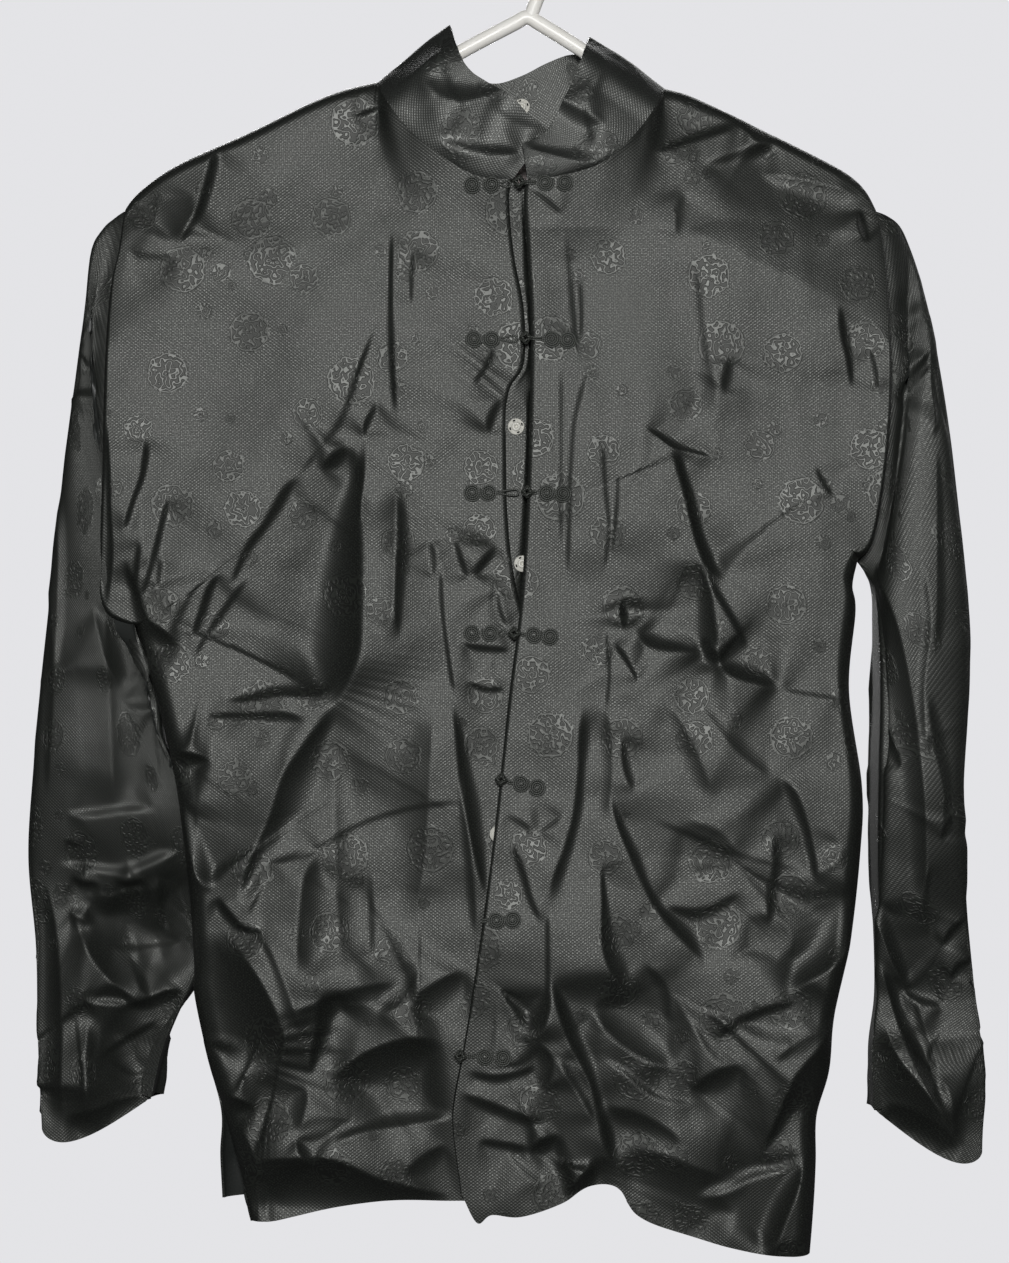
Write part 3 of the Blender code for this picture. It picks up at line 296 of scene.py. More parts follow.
LEFT_FOLDS = (
    (-0.2, ((24, -200, 1.9), (28, -241, 3.8), (31, -269, 3.8), (30, -279, 2.5))),
    (0.34, ((32, -228, 1.9), (33, -253, 3.1), (32, -271, 2.5))),
    (0.26, ((39, -278, 3.1), (32, -302, 3.8), (28, -322, 3.1), (26, -353, 3.1), (25, -391, 3.1),
            (24, -422, 2.5))),
    (-0.22, ((21, -280, 1.9), (21, -334, 2.5), (21, -403, 1.9))),
    (-0.2, ((97, -175, 5), (95, -191, 8.1), (94, -207, 5))),
    (0.16, ((103, -217, 3.8), (106, -259, 7.5), (109, -297, 13.8), (112, -322, 15))),
    (-0.32, ((126, -278, 4.4), (124, -291, 7.5), (121, -302, 4.4))),
    (0.4, ((77, -152, 2.5), (91, -146, 5), (107, -140, 6.2), (122, -135, 7.5), (133, -131, 5))),
    (-0.36, ((108, -161, 3.1), (126, -156, 6.9), (143, -151, 9.4), (157, -147, 6.2))),
    (0.34, ((134, -133, 5), (144, -139, 11.2), (153, -146, 7.5))),
    (-0.22, ((143, -166, 3.8), (164, -172, 10), (186, -178, 12.5), (206, -182, 8.8))),
    (-0.55, ((207, -186, 3.8), (208, -197, 6.9), (212, -207, 5.6))),
    (-0.42, ((193, -246, 1.9), (196, -264, 5.6), (199, -279, 4.4), (201, -298, 2.5))),
    (0.26, ((211, -272, 2.5), (214, -287, 4.4), (216, -301, 3.1))),
    (0.5, ((71, -321, 1.9), (81, -326, 4.4), (91, -332, 6.2), (102, -336, 3.8), (116, -340, 1.9))),
    (-0.75, ((89, -332, 7.5), (93, -339, 7.5), (96, -350, 5.6), (101, -366, 6.9), (106, -386, 7.5),
            (112, -402, 8.8), (118, -411, 7.5), (124, -416, 3.1))),
    (-0.46, ((108, -401, 3.8), (114, -417, 5), (122, -431, 5), (131, -447, 3.8), (137, -459, 2.5))),
    (0.46, ((108, -403, 5), (109, -428, 10), (111, -453, 12.5), (112, -463, 8.8))),
    (-0.3, ((178, -346, 1.9), (183, -356, 3.1), (189, -365, 1.9))),
    (-0.2, ((46, -328, 2.5), (49, -362, 3.1), (51, -388, 3.1), (47, -414, 2.5))),
    (0.2, ((56, -347, 1.9), (54, -378, 3.1), (51, -403, 2.5))),
    (-0.62, ((59, -427, 3.1), (60, -437, 5.6), (61, -447, 3.1))),
    (0.46, ((66, -447, 3.1), (74, -451, 10), (83, -455, 8.1), (102, -459, 4.4), (112, -461, 3.8))),
    (0.85, ((106, -451, 4.4), (111, -461, 8.8), (116, -468, 8.1), (121, -470, 3.8))),
    (0.55, ((116, -466, 7.5), (130, -471, 11.2), (144, -476, 10), (156, -481, 5))),
    (0.3, ((156, -483, 3.1), (174, -486, 3.8), (194, -489, 2.5))),
    (-0.46, ((53, -454, 1.9), (61, -464, 3.8), (69, -479, 2.5))),
    (0.24, ((48, -444, 2.5), (50, -472, 3.1), (48, -498, 3.1))),
    (-0.4, ((37, -492, 5), (36, -509, 8.1), (34, -534, 5.6), (32, -558, 6.9), (27, -579, 6.9),
            (19, -603, 8.8), (14, -617, 3.8))),
    (-0.3, ((59, -512, 3.1), (62, -531, 6.2), (67, -547, 5))),
    (-0.46, ((51, -546, 2.5), (58, -566, 5.6), (67, -586, 7.5), (74, -604, 5), (83, -618, 7.5),
            (97, -632, 10.6), (107, -646, 6.9), (112, -656, 3.1))),
    (-0.42, ((46, -588, 2.5), (48, -612, 4.4), (51, -638, 10.6), (57, -654, 13.8), (63, -671, 6.9))),
    (0.36, ((-10, -578, 2.5), (-4, -596, 5), (1, -613, 5), (9, -628, 2.5))),
    (0.34, ((12, -619, 1.9), (12, -647, 3.1), (12, -672, 3.8))),
    (0.6, ((12, -662, 3.8), (9, -678, 10), (2, -689, 17.5), (-6, -694, 8.8))),
    (-0.62, ((16, -656, 3.1), (21, -675, 7.5), (29, -696, 9.4), (37, -712, 9.4), (42, -727, 6.2),
            (47, -746, 6.9), (52, -764, 8.8), (57, -782, 7.5))),
    (-0.4, ((19, -707, 5), (28, -719, 8.8), (37, -736, 6.2), (44, -752, 3.8))),
    (0.42, ((39, -677, 5), (49, -684, 13.8), (63, -694, 20), (79, -706, 16.2), (93, -716, 5.6))),
    (0.36, ((46, -709, 1.9), (61, -719, 3.8), (76, -731, 5), (88, -736, 3.1), (108, -739, 2.5))),
    (-0.38, ((99, -732, 5), (112, -728, 13.8), (123, -723, 15), (134, -714, 5))),
    (-0.46, ((114, -699, 3.8), (129, -690, 6.2), (146, -682, 5), (167, -676, 3.1))),
    (0.58, ((157, -671, 6.2), (168, -658, 13.8), (182, -646, 18.8), (194, -631, 23.8), (202, -613, 12.5),
            (206, -596, 3.8))),
    (0.42, ((154, -536, 3.1), (162, -549, 8.1), (169, -566, 6.9), (174, -584, 5.6), (178, -604, 2.5))),
    (0.2, ((171, -597, 5), (183, -586, 12.5), (194, -577, 8.8))),
    (-0.34, ((153, -571, 5), (155, -591, 7.5), (152, -609, 7.5), (149, -631, 3.8))),
    (0.18, ((134, -623, 10), (149, -636, 25), (153, -653, 16.2))),
    (-0.16, ((93, -566, 10), (111, -581, 25), (127, -598, 21.2))),
    (0.18, ((84, -491, 6.2), (96, -519, 12.5), (112, -553, 10))),
    (-0.2, ((108, -491, 6.2), (131, -517, 10), (153, -538, 6.2))),
    (-0.62, ((189, -684, 5), (187, -701, 8.8), (181, -717, 20), (171, -732, 22.5), (161, -743, 11.2),
            (151, -761, 5.6), (143, -771, 2.5))),
    (-0.3, ((151, -713, 3.1), (168, -704, 9.4), (184, -696, 7.5))),
    (0.46, ((103, -797, 5), (122, -789, 10), (139, -782, 8.1), (156, -778, 6.9), (174, -771, 3.1))),
    (0.7, ((171, -772, 2.5), (162, -789, 10.6), (154, -806, 13.1), (148, -822, 12.5), (143, -833, 8.8))),
    (-0.26, ((59, -766, 8.8), (77, -782, 27.5), (102, -798, 40), (131, -809, 37.5))),
    (-0.4, ((-39, -720, 3.8), (-21, -724, 6.2), (-4, -721, 5.6), (7, -716, 3.1))),
    (-0.4, ((-44, -733, 5), (-24, -742, 8.1), (-4, -749, 7.5), (13, -751, 5))),
    (-0.36, ((-31, -763, 4.4), (-14, -766, 5.6), (1, -769, 6.2))),
    (-0.5, ((-1, -771, 5), (11, -766, 11.9), (22, -759, 5.6))),
    (0.24, ((-12, -769, 2.5), (1, -781, 6.2), (11, -789, 2.5))),
    (-0.85, ((41, -771, 5), (41, -781, 10), (34, -790, 10.6), (22, -797, 5))),
    (0.3, ((6, -701, 6.2), (10, -714, 12.5), (8, -731, 7.5))),
    (-0.26, ((44, -743, 7.5), (68, -752, 13.8), (98, -766, 8.8))),
    (-0.24, ((-15, -561, 3.1), (-4, -567, 5), (4, -572, 2.5))),
    (0.24, ((22, -561, 3.1), (13, -567, 5), (6, -572, 2.5))),
    (-0.2, ((76, -564, 1.9), (106, -576, 3.8), (136, -588, 3.8), (174, -597, 2.5))),
    (-0.24, ((1, -176, 1.9), (11, -183, 4.4), (22, -192, 2.5))),
    (0.16, ((46, -491, 6.2), (48, -528, 8.8), (46, -566, 7.5))),
    (-0.3, ((81, -619, 5), (108, -623, 8.8), (134, -609, 5))),
    (0.24, ((71, -653, 5), (83, -669, 7.5), (86, -691, 5))),
)
BACK_MIDDLE_FOLDS = (
    (-0.34, ((-22, -159, 2.5), (-14, -209, 5.6), (-17, -266, 5), (-19, -303, 2.5))),
    (0.3, ((24, -203, 2.5), (18, -259, 5), (21, -316, 5.6), (14, -366, 2.5))),
    (0.42, ((-64, -442, 3.8), (-36, -431, 7.5), (2, -437, 6.2), (43, -427, 3.1))),
    (-0.4, ((-36, -491, 3.1), (-26, -547, 7.5), (-31, -603, 7.5), (-22, -653, 3.1))),
    (0.36, ((48, -466, 3.1), (38, -528, 7.5), (44, -584, 5.6), (36, -634, 2.5))),
    (-0.3, ((-61, -353, 2.5), (-42, -384, 6.2), (-4, -401, 5.6), (21, -422, 3.1))),
    (-0.46, ((-61, -686, 3.8), (-17, -699, 8.8), (21, -689, 7.5), (52, -697, 3.1))),
    (0.5, ((-2, -728, 3.8), (-9, -753, 8.8), (-3, -778, 7.5), (-7, -797, 3.1))),
)
# the back has drag folds much like those of the fronts, softer and the other way round
BACK_FOLDS = BACK_MIDDLE_FOLDS + tuple(
    (-0.75 * tilt, tuple((6 - across, up - 9, width) for across, up, width in places))
    for tilt, places in RIGHT_FOLDS + LEFT_FOLDS if min(abs(place[0]) for place in places) > 45)


def even_curve(rows, shares, first=0, last=None):
    """Smooth curve through a table's rows, read at shares of its length between two of them."""
    rows = np.asarray(rows, float)
    last = len(rows) - 1 if last is None else last
    ends = np.vstack([2 * rows[0] - rows[1], rows, 2 * rows[-1] - rows[-2]])
    steps = np.linspace(0, 1, 12, endpoint=False)[:, None]
    fine = []
    for k in range(first, last):
        a, b, c, d = ends[k:k + 4]
        fine.append(0.5 * (2 * b + (c - a) * steps + (2 * a - 5 * b + 4 * c - d) * steps ** 2
                           + (3 * b - a - 3 * c + d) * steps ** 3))
    fine = np.vstack(fine + [rows[last:last + 1]])
    length = np.concatenate([[0], np.cumsum(np.linalg.norm(np.diff(fine, axis=0), axis=1))])
    wanted = np.asarray(shares) * length[-1]
    return np.stack([np.interp(wanted, length, fine[:, k]) for k in range(rows.shape[1])], axis=1)


def smooth_step(share):
    share = np.clip(share, 0, 1)
    return share * share * (3 - 2 * share)


def quarter_round(share):
    """Rises like a quarter circle from 0 to 1."""
    share = np.clip(share, 0, 1)
    return np.sqrt(1 - (1 - share) ** 2)


def grid_normals(points, wrap=False):
    """Unit normals of a grid of points: down the rows crossed with along the columns."""
    down = np.gradient(points, axis=0)
    if wrap:
        along = np.roll(points, -1, axis=1) - np.roll(points, 1, axis=1)
    else:
        along = np.gradient(points, axis=1)
    normals = np.cross(down, along)
    return normals / np.maximum(np.linalg.norm(normals, axis=2, keepdims=True), 1e-9)


def fold_heights(across, up, folds):
    """Height of the listed folds. Each is a line of places with the width of the steep side there;
    beyond it the cloth settles back slowly. Its tilt is a plus where the right or lower side
    stands out, and that edge is the crisp one."""
    height = np.zeros_like(across)
    for tilt, places in folds:
        line = even_curve(places, np.linspace(0, 1, 5 * len(places) + 1))
        reach = 2.4 * SETTLE
        low, high = line[:, :2].min(axis=0) - reach, line[:, :2].max(axis=0) + reach
        near = (across > low[0]) & (across < high[0]) & (up > low[1]) & (up < high[1])
        x, z = across[near], up[near]
        run = line[-1, :2] - line[0, :2]
        prefer = np.array((1, 0) if abs(run[0]) < abs(run[1]) else (0, -1))
        best = np.full(x.shape, np.inf)
        side = np.zeros(x.shape)
        width = np.zeros(x.shape)
        along = np.zeros(x.shape)
        walked = 0.0
        for a, b in zip(line[:-1], line[1:]):
            step = b[:2] - a[:2]
            length = np.hypot(*step)
            share = np.clip(((x - a[0]) * step[0] + (z - a[1]) * step[1]) / length ** 2, 0, 1)
            off_x, off_z = x - a[0] - share * step[0], z - a[1] - share * step[1]
            across_line = np.array((-step[1], step[0])) / length
            if across_line @ prefer < 0:
                across_line = -across_line
            distance = np.hypot(off_x, off_z)
            closer = distance < best
            best = np.where(closer, distance, best)
            side = np.where(closer, off_x * across_line[0] + off_z * across_line[1], side)
            width = np.where(closer, a[2] + share * (b[2] - a[2]), width)
            along = np.where(closer, walked + share * length, along)
            walked += length
        half = np.maximum(width, 1.5) / 2
        ends = np.minimum(along, walked - along)
        taper = min(max(0.16 * walked, 2.2 * abs(tilt) * line[:, 2].max() / 2), 0.5 * walked)
        fade = smooth_step(ends / (taper + 0.6 * best)) * np.exp(-((best - np.abs(side)) / 6) ** 2)
        climb = np.clip((1 + math.copysign(1, tilt) * side / half) / 2, 0, 1)
        rise = 2 * climb ** 1.9 - 1
        beyond = np.maximum(best - half, 0)
        height[near] += abs(tilt) * (half + NARROW) * rise * fade * np.exp(-(beyond / SETTLE) ** 1.3)
    return height


def unevenness(across, up, seed):
    """Slight waviness that all hung cloth has, from long soft waves to short faint ones."""
    chance = np.random.default_rng(seed)
    height = np.zeros_like(across)
    for wave, rise in WAVES:
        for _ in range(3):
            turn, start = chance.uniform(0, math.pi), chance.uniform(0, 2 * math.pi)
            bend = chance.uniform(0.6, 1.4) * 0.35
            along = across * math.cos(turn) + up * math.sin(turn)
            beside = up * math.cos(turn) - across * math.sin(turn)
            height += rise * np.sin(2 * math.pi * along / wave + start + bend * np.sin(beside / wave * 3))
    return height


def coons(top, bottom, start, end, shares, drops):
    """Grid between four edge curves."""
    s = shares[None, :, None]
    t = drops[:, None, None]
    ruled_down = (1 - t) * top[None] + t * bottom[None]
    ruled_across = (1 - s) * start[:, None] + s * end[:, None]
    corners = (1 - t) * ((1 - s) * top[0] + s * top[-1]) + t * ((1 - s) * bottom[0] + s * bottom[-1])
    return ruled_down + ruled_across - corners


def armhole_depth(share):
    """Half the depth of the armhole, from the shoulder to the underarm."""
    return ARMHOLE_DEPTH * np.sin(math.pi * np.clip(share, 0, 1)) ** 0.6


def row_shares(armhole, side, rows):
    """Shares down the armhole, down the side seam, and down the whole panel."""
    arm = (1 - np.cos(np.linspace(0, math.pi, rows[0] + 1))) / 2
    below = np.linspace(0, 1, rows[1] + 1)[1:]
    arm_part = (armhole[0][1] - armhole[-1][1]) / (armhole[0][1] - side[-1][1])
    return arm, below, np.concatenate([arm * arm_part, arm_part + (1 - arm_part) * below])


def shoulder_shares(columns):
    """Shares from the neck to the shoulder's tip, crowded at the tip."""
    return 1 - (1 - np.linspace(0, 1, columns + 1)) ** 1.4


def hang(flat, neck, neck_columns, neck_depth, arm, starts_at_side, ends_at_side, depth, folds, seed):
    """Depth of a panel: round over the shoulder and sides, seated on the neck seam, then folded."""
    across, up = flat[..., 0], flat[..., 1]
    neck_drop = np.zeros(flat.shape[1])
    neck_drop[neck_columns] = np.maximum(max(neck[0, 1], neck[-1, 1]) - neck[:, 1], 0)
    from_top = np.linalg.norm(flat - flat[:1], axis=2)
    below_shoulder = from_top + neck_drop
    rise = quarter_round(below_shoulder / SHOULDER_ROUND)
    rim = np.zeros(len(flat))
    rim[:len(arm)] = armhole_depth(arm)
    side_up = flat[:, 0 if starts_at_side else -1, 1]
    free = smooth_step((VENT_TOP - side_up) / (VENT_TOP - side_up[-1]))
    rim = rim + VENT_SPREAD * free
    is_front = not (starts_at_side and ends_at_side)
    side_round = np.full((len(flat), 1), SIDE_ROUND)
    if is_front:
        grows = (len(arm) - UNDERARM_ROWS[0], len(arm) + UNDERARM_ROWS[1])
        side_round[:, 0] = np.interp(np.arange(len(flat)), grows, (FRONT_ARM_ROUND, FRONT_SIDE_ROUND))
    if starts_at_side:
        rise = rise * quarter_round(np.linalg.norm(flat - flat[:, :1], axis=2) / side_round)
    if ends_at_side:
        rise = rise * quarter_round(np.linalg.norm(flat - flat[:, -1:], axis=2) / side_round)
    crown = SHOULDER_DEPTH + (depth - SHOULDER_DEPTH) * np.clip(below_shoulder / SHOULDER_SETTLE, 0, 1)
    result = rim[:, None] * (1 - rise) + crown * rise
    mend = np.zeros(flat.shape[1])
    mend[neck_columns] = neck_depth - result[0, neck_columns]
    mend = mend * np.clip(1 - from_top / NECK_SETTLE, 0, 1) ** 1.5
    beside = np.linalg.norm(np.diff(flat, axis=1), axis=2)
    beside = np.pad(np.cumsum(beside, axis=1), ((0, 0), (1, 0)))
    for row in range(1, len(flat)):
        if from_top[row].min() > NECK_SETTLE:
            break
        spread = 0.3 + 0.55 * from_top[row]
        near = np.exp(-((beside[row][:, None] - beside[row][None]) / spread[:, None]) ** 2)
        mend[row] = near @ mend[row] / near.sum(axis=1)
    result = result + mend
    if is_front:
        swing = BELLY * smooth_step((BELLY_TOP - up) / BELLY_RUN)
        swing = swing - HEM_TUCK * smooth_step((HEM_START - up) / (HEM_START - up.min()))
        result = result + swing * rise
    calm = smooth_step(below_shoulder / SEAM_CALM)
    relief = RELIEF * fold_heights(across, up, folds) + unevenness(across, up, seed) * calm
    if is_front:
        edge = flat[:, -1:] if starts_at_side else flat[:, :1]
        inside = np.linalg.norm(flat - edge, axis=2)
        relief = relief * (LAP_SHARE + (1 - LAP_SHARE) * smooth_step(inside / LAP_CALM))
        turn, drop = EDGE_TURNS[-1 if starts_at_side else 1]
        relief = relief - drop * calm * np.clip(1 - inside / turn, 0, 1) ** 1.5
    result = result + relief * rise ** 0.5
    least = LEAST_DEPTH * rise
    return (result + least + np.sqrt((result - least) ** 2 + 4 * rise ** 2)) / 2


def seat_seams(points, normals, top_seams, sides, armhole_rows):
    """Rims of the shoulder and side seams face the other panel across the seam."""
    joined = points[:, sides[0], 2] > VENT_TOP
    for columns in top_seams:
        points[0, columns, 1] = np.sign(points[5, columns, 1]) * SEAM_GAP / 2
        normals[0, columns, 1] = 0
    for column in sides:
        rows = (np.arange(len(points)) >= armhole_rows) & joined
        points[rows, column, 1] = np.sign(points[5, 5, 1]) * SEAM_GAP / 2
        normals[rows, column, 1] = 0
        normals[armhole_rows, column] = normals[armhole_rows + 1, column]
    normals /= np.linalg.norm(normals, axis=2, keepdims=True)


def mesh_piece(name, points, faces, materials, cut=None):
    """A smooth piece from points in millimetres, with its places on the flat cloth or cord."""
    mesh = bpy.data.meshes.new(name)
    mesh.from_pydata((np.asarray(points) * MM).tolist(), [], faces)
    for material in materials:
        mesh.materials.append(material)
    if cut is not None:
        mesh.attributes.new("cut", "FLOAT_VECTOR", "POINT").data.foreach_set("vector", cut.ravel())
    mesh.shade_smooth()
    piece = bpy.data.objects.new(name, mesh)
    bpy.context.scene.collection.objects.link(piece)
    return piece


def lined_cloth(name, outer, normals, thickness, cut, materials, wrap=False):
    """Thin cloth wall: a fine outer face, a lining at half its fineness, and turned edges."""
    rows, columns = outer.shape[:2]
    inner = (outer - thickness * normals)[::2, ::2]
    points = np.vstack([outer.reshape(-1, 3), inner.reshape(-1, 3)])
    shift = rows * columns
    last = columns if wrap else columns - 1
    i, j = np.meshgrid(np.arange(rows - 1), np.arange(last), indexing="ij")
    a, b = i * columns + j, i * columns + (j + 1) % columns
    faces = np.stack([a, a + columns, b + columns, b], axis=-1).reshape(-1, 4).tolist()
    outside = len(faces)
    inner_rows, inner_columns = inner.shape[:2]
    last = inner_columns if wrap else inner_columns - 1
    i, j = np.meshgrid(np.arange(inner_rows - 1), np.arange(last), indexing="ij")
    a, b = shift + i * inner_columns + j, shift + i * inner_columns + (j + 1) % inner_columns
    faces += np.stack([a, b, b + inner_columns, a + inner_columns], axis=-1).reshape(-1, 4).tolist()
    inside = len(faces)
    for k in range(last):
        o = [2 * k, 2 * k + 1, (2 * k + 2) % columns]
        n = [shift + k, shift + (k + 1) % inner_columns]
        faces.append((o[0], o[1], o[2], n[1], n[0]))
        o = [v + (rows - 1) * columns for v in o]
        n = [v + (inner_rows - 1) * inner_columns for v in n]
        faces.append((o[2], o[1], o[0], n[0], n[1]))
    if not wrap:
        for k in range(inner_rows - 1):
            o = [(2 * k + m) * columns for m in range(3)]
            n = [shift + k * inner_columns, shift + (k + 1) * inner_columns]
            faces.append((o[2], o[1], o[0], n[0], n[1]))
            o = [v + columns - 1 for v in o]
            n = [v + inner_columns - 1 for v in n]
            faces.append((o[0], o[1], o[2], n[1], n[0]))
    places = np.vstack([cut.reshape(-1, 3), cut[::2, ::2].reshape(-1, 3)]) * MM
    piece = mesh_piece(name, points, faces, materials, places)
    slots = np.zeros(len(faces), int)
    slots[outside:inside] = len(materials) - 1
    piece.data.polygons.foreach_set("material_index", slots)
    piece.data.set_sharp_from_angle(angle=math.radians(CRISP))
    return piece


def jacquard(name, ground, bright_figure_and_glint, dark_weave_and_shade, shine=0.62):
    """Woven warp satin of filament yarn with a fine diamond ground and scattered roundels of
    curling floats, tone on tone: the floats are glossier than the hollows, and the base colour
    has painted glint on the floats and painted shade in the hollows."""
    material, shader, tree = finish_of(name, ground, ior=1.5, specular_tint=(0.985, 1.0, 0.955, 1))
    shader.inputs["Specular IOR Level"].default_value = shine
    place = add(tree, "ShaderNodeAttribute", attribute_name="cut").outputs["Vector"]
    way = add(tree, "ShaderNodeSeparateXYZ", {0: place})

    # diamonds of the ground: floats in staggered lozenges, drawn 2.6 by 2.0 mm, coarser than the
    # real ones of about 2 mm, so that they show
    across = add(tree, "ShaderNodeMath", {0: way.outputs[0], 1: math.pi / 0.0026},
                 operation="MULTIPLY").outputs[0]
    up = add(tree, "ShaderNodeMath", {0: way.outputs[1], 1: math.pi / 0.0020},
             operation="MULTIPLY").outputs[0]
    rising = add(tree, "ShaderNodeMath", {0: across, 1: up}, operation="ADD").outputs[0]
    falling = add(tree, "ShaderNodeMath", {0: across, 1: up}, operation="SUBTRACT").outputs[0]
    rising = add(tree, "ShaderNodeMath", {0: rising}, operation="SINE").outputs[0]
    falling = add(tree, "ShaderNodeMath", {0: falling}, operation="SINE").outputs[0]
    lozenge = add(tree, "ShaderNodeMath", {0: rising, 1: falling}, operation="MULTIPLY").outputs[0]
    lozenge = add(tree, "ShaderNodeMath", {0: lozenge}, operation="ABSOLUTE").outputs[0]

    # slubs: single floats, drawn 1 mm long, glossier and with a painted glint in the base colour; the yarns
    # are about 0.1 mm and too fine to show
    slub_glint = add(tree, "ShaderNodeTexNoise", {"Vector": place, "Scale": 980.0, "Detail": 0.0},
               noise_dimensions="2D").outputs[0]
    slub_glint = add(tree, "ShaderNodeMapRange", {0: slub_glint, 1: 0.46, 2: 0.66, 3: -0.45, 4: 1.3}).outputs[0]

    # roundels: scalloped rings broken into curls, each with its own size and number of petals; the
    # large ones are 17 to 32 mm across, the small ones between them 6 to 12 mm
    curl_noise = add(tree, "ShaderNodeTexNoise", {"Vector": place, "Scale": 210.0, "Detail": 0.7},
                     noise_dimensions="2D").outputs[0]
    figures = None
    discs = None
    for spacing, scatter, smallest, largest, share, rings in (
            (ROUNDEL_SPACING, 0.7, 0.0085, 0.0158, -1.0, 2.3), (0.029, 0.9, 0.0028, 0.0060, 0.66, 1.2)):
        cell = add(tree, "ShaderNodeTexVoronoi",
                   {"Vector": place, "Scale": 1 / spacing, "Randomness": scatter}, voronoi_dimensions="2D")
        off = add(tree, "ShaderNodeVectorMath", {0: place, 1: cell.outputs["Position"]},
                  operation="SUBTRACT").outputs[0]
        span = add(tree, "ShaderNodeVectorMath", {0: off}, operation="LENGTH").outputs["Value"]
        chance = add(tree, "ShaderNodeSeparateColor", {0: cell.outputs["Color"]})
        size = add(tree, "ShaderNodeMapRange", {0: chance.outputs[0], 3: smallest, 4: largest}).outputs[0]
        reach = add(tree, "ShaderNodeMath", {0: span, 1: size}, operation="DIVIDE").outputs[0]
        sides = add(tree, "ShaderNodeSeparateXYZ", {0: off})
        angle = add(tree, "ShaderNodeMath", {0: sides.outputs[1], 1: sides.outputs[0]},
                    operation="ARCTAN2").outputs[0]
        petals = add(tree, "ShaderNodeMath", {0: chance.outputs[1], 1: 3.0, 2: 5.0},
                     operation="MULTIPLY_ADD").outputs[0]
        petals = add(tree, "ShaderNodeMath", {0: petals}, operation="ROUND").outputs[0]
        turn = add(tree, "ShaderNodeMath", {0: angle, 1: petals}, operation="MULTIPLY").outputs[0]
        turn = add(tree, "ShaderNodeMath", {0: turn}, operation="COSINE").outputs[0]
        scallop = add(tree, "ShaderNodeMath", {0: turn, 1: 0.025, 2: reach},
                      operation="MULTIPLY_ADD").outputs[0]
        scallop = add(tree, "ShaderNodeMath", {0: curl_noise, 1: 0.16, 2: scallop},
                      operation="MULTIPLY_ADD").outputs[0]
        disc = add(tree, "ShaderNodeMapRange", {0: scallop, 1: 1.04, 2: 1.10, 3: 1.0, 4: 0.0}).outputs[0]
        drawn = add(tree, "ShaderNodeMath", {0: chance.outputs[2], 1: share},
                    operation="GREATER_THAN").outputs[0]
        disc = add(tree, "ShaderNodeMath", {0: disc, 1: drawn}, operation="MULTIPLY").outputs[0]
        wave = add(tree, "ShaderNodeMath", {0: curl_noise, 1: 21.0}, operation="MULTIPLY").outputs[0]
        wave = add(tree, "ShaderNodeMath", {0: turn, 1: 1.1, 2: wave}, operation="MULTIPLY_ADD").outputs[0]
        wave = add(tree, "ShaderNodeMath", {0: reach, 1: 2 * math.pi * rings, 2: wave},
                   operation="MULTIPLY_ADD").outputs[0]
        wave = add(tree, "ShaderNodeMath", {0: wave}, operation="SINE").outputs[0]
        wave = add(tree, "ShaderNodeMapRange", {0: wave, 1: -0.4, 2: 0.6, 3: -0.7, 4: 1.1}).outputs[0]
        rim = add(tree, "ShaderNodeMath", {0: scallop, 1: 0.99}, operation="SUBTRACT").outputs[0]
        rim = add(tree, "ShaderNodeMath", {0: rim}, operation="ABSOLUTE").outputs[0]
        rim = add(tree, "ShaderNodeMapRange", {0: rim, 1: 0.02, 2: 0.06, 3: 0.8, 4: -0.7}).outputs[0]
        wave = add(tree, "ShaderNodeMath", {0: wave, 1: rim}, operation="MAXIMUM").outputs[0]
        figure = add(tree, "ShaderNodeMath", {0: wave, 1: disc}, operation="MULTIPLY").outputs[0]
        if figures is None:
            figures, discs = figure, disc
        else:
            clear = add(tree, "ShaderNodeMath", {0: 1.0, 1: discs}, operation="SUBTRACT").outputs[0]
            figure = add(tree, "ShaderNodeMath", {0: figure, 1: clear}, operation="MULTIPLY").outputs[0]
            figures = add(tree, "ShaderNodeMath", {0: figures, 1: figure}, operation="ADD").outputs[0]
            discs = add(tree, "ShaderNodeMath", {0: discs, 1: disc}, operation="MAXIMUM").outputs[0]

    # tone of a thread, from the hollows at -1 to the floats that stand out at 1: it sets the bump and gloss,
    # and in the base colour the woven figures with painted shade in the hollows and painted glint on the
    # floats
    bare = add(tree, "ShaderNodeMath", {0: 1.0, 1: discs}, operation="SUBTRACT").outputs[0]
    net = add(tree, "ShaderNodeMath", {0: lozenge, 1: bare}, operation="MULTIPLY").outputs[0]
    tone = add(tree, "ShaderNodeMath", {0: net, 1: 0.7, 2: -0.3}, operation="MULTIPLY_ADD").outputs[0]
    tone = add(tree, "ShaderNodeMath", {0: discs, 1: 0.2, 2: tone}, operation="MULTIPLY_ADD").outputs[0]
    tone = add(tree, "ShaderNodeMath", {0: figures, 1: 0.62, 2: tone}, operation="MULTIPLY_ADD").outputs[0]
    bump = add(tree, "ShaderNodeBump", {"Height": tone, "Strength": 1.0, "Distance": THREAD_FIGURE})
    slub_glint = add(tree, "ShaderNodeMath", {0: slub_glint, 1: bare}, operation="MULTIPLY").outputs[0]
    tone = add(tree, "ShaderNodeMath", {0: slub_glint, 1: 0.5, 2: tone}, operation="MULTIPLY_ADD").outputs[0]
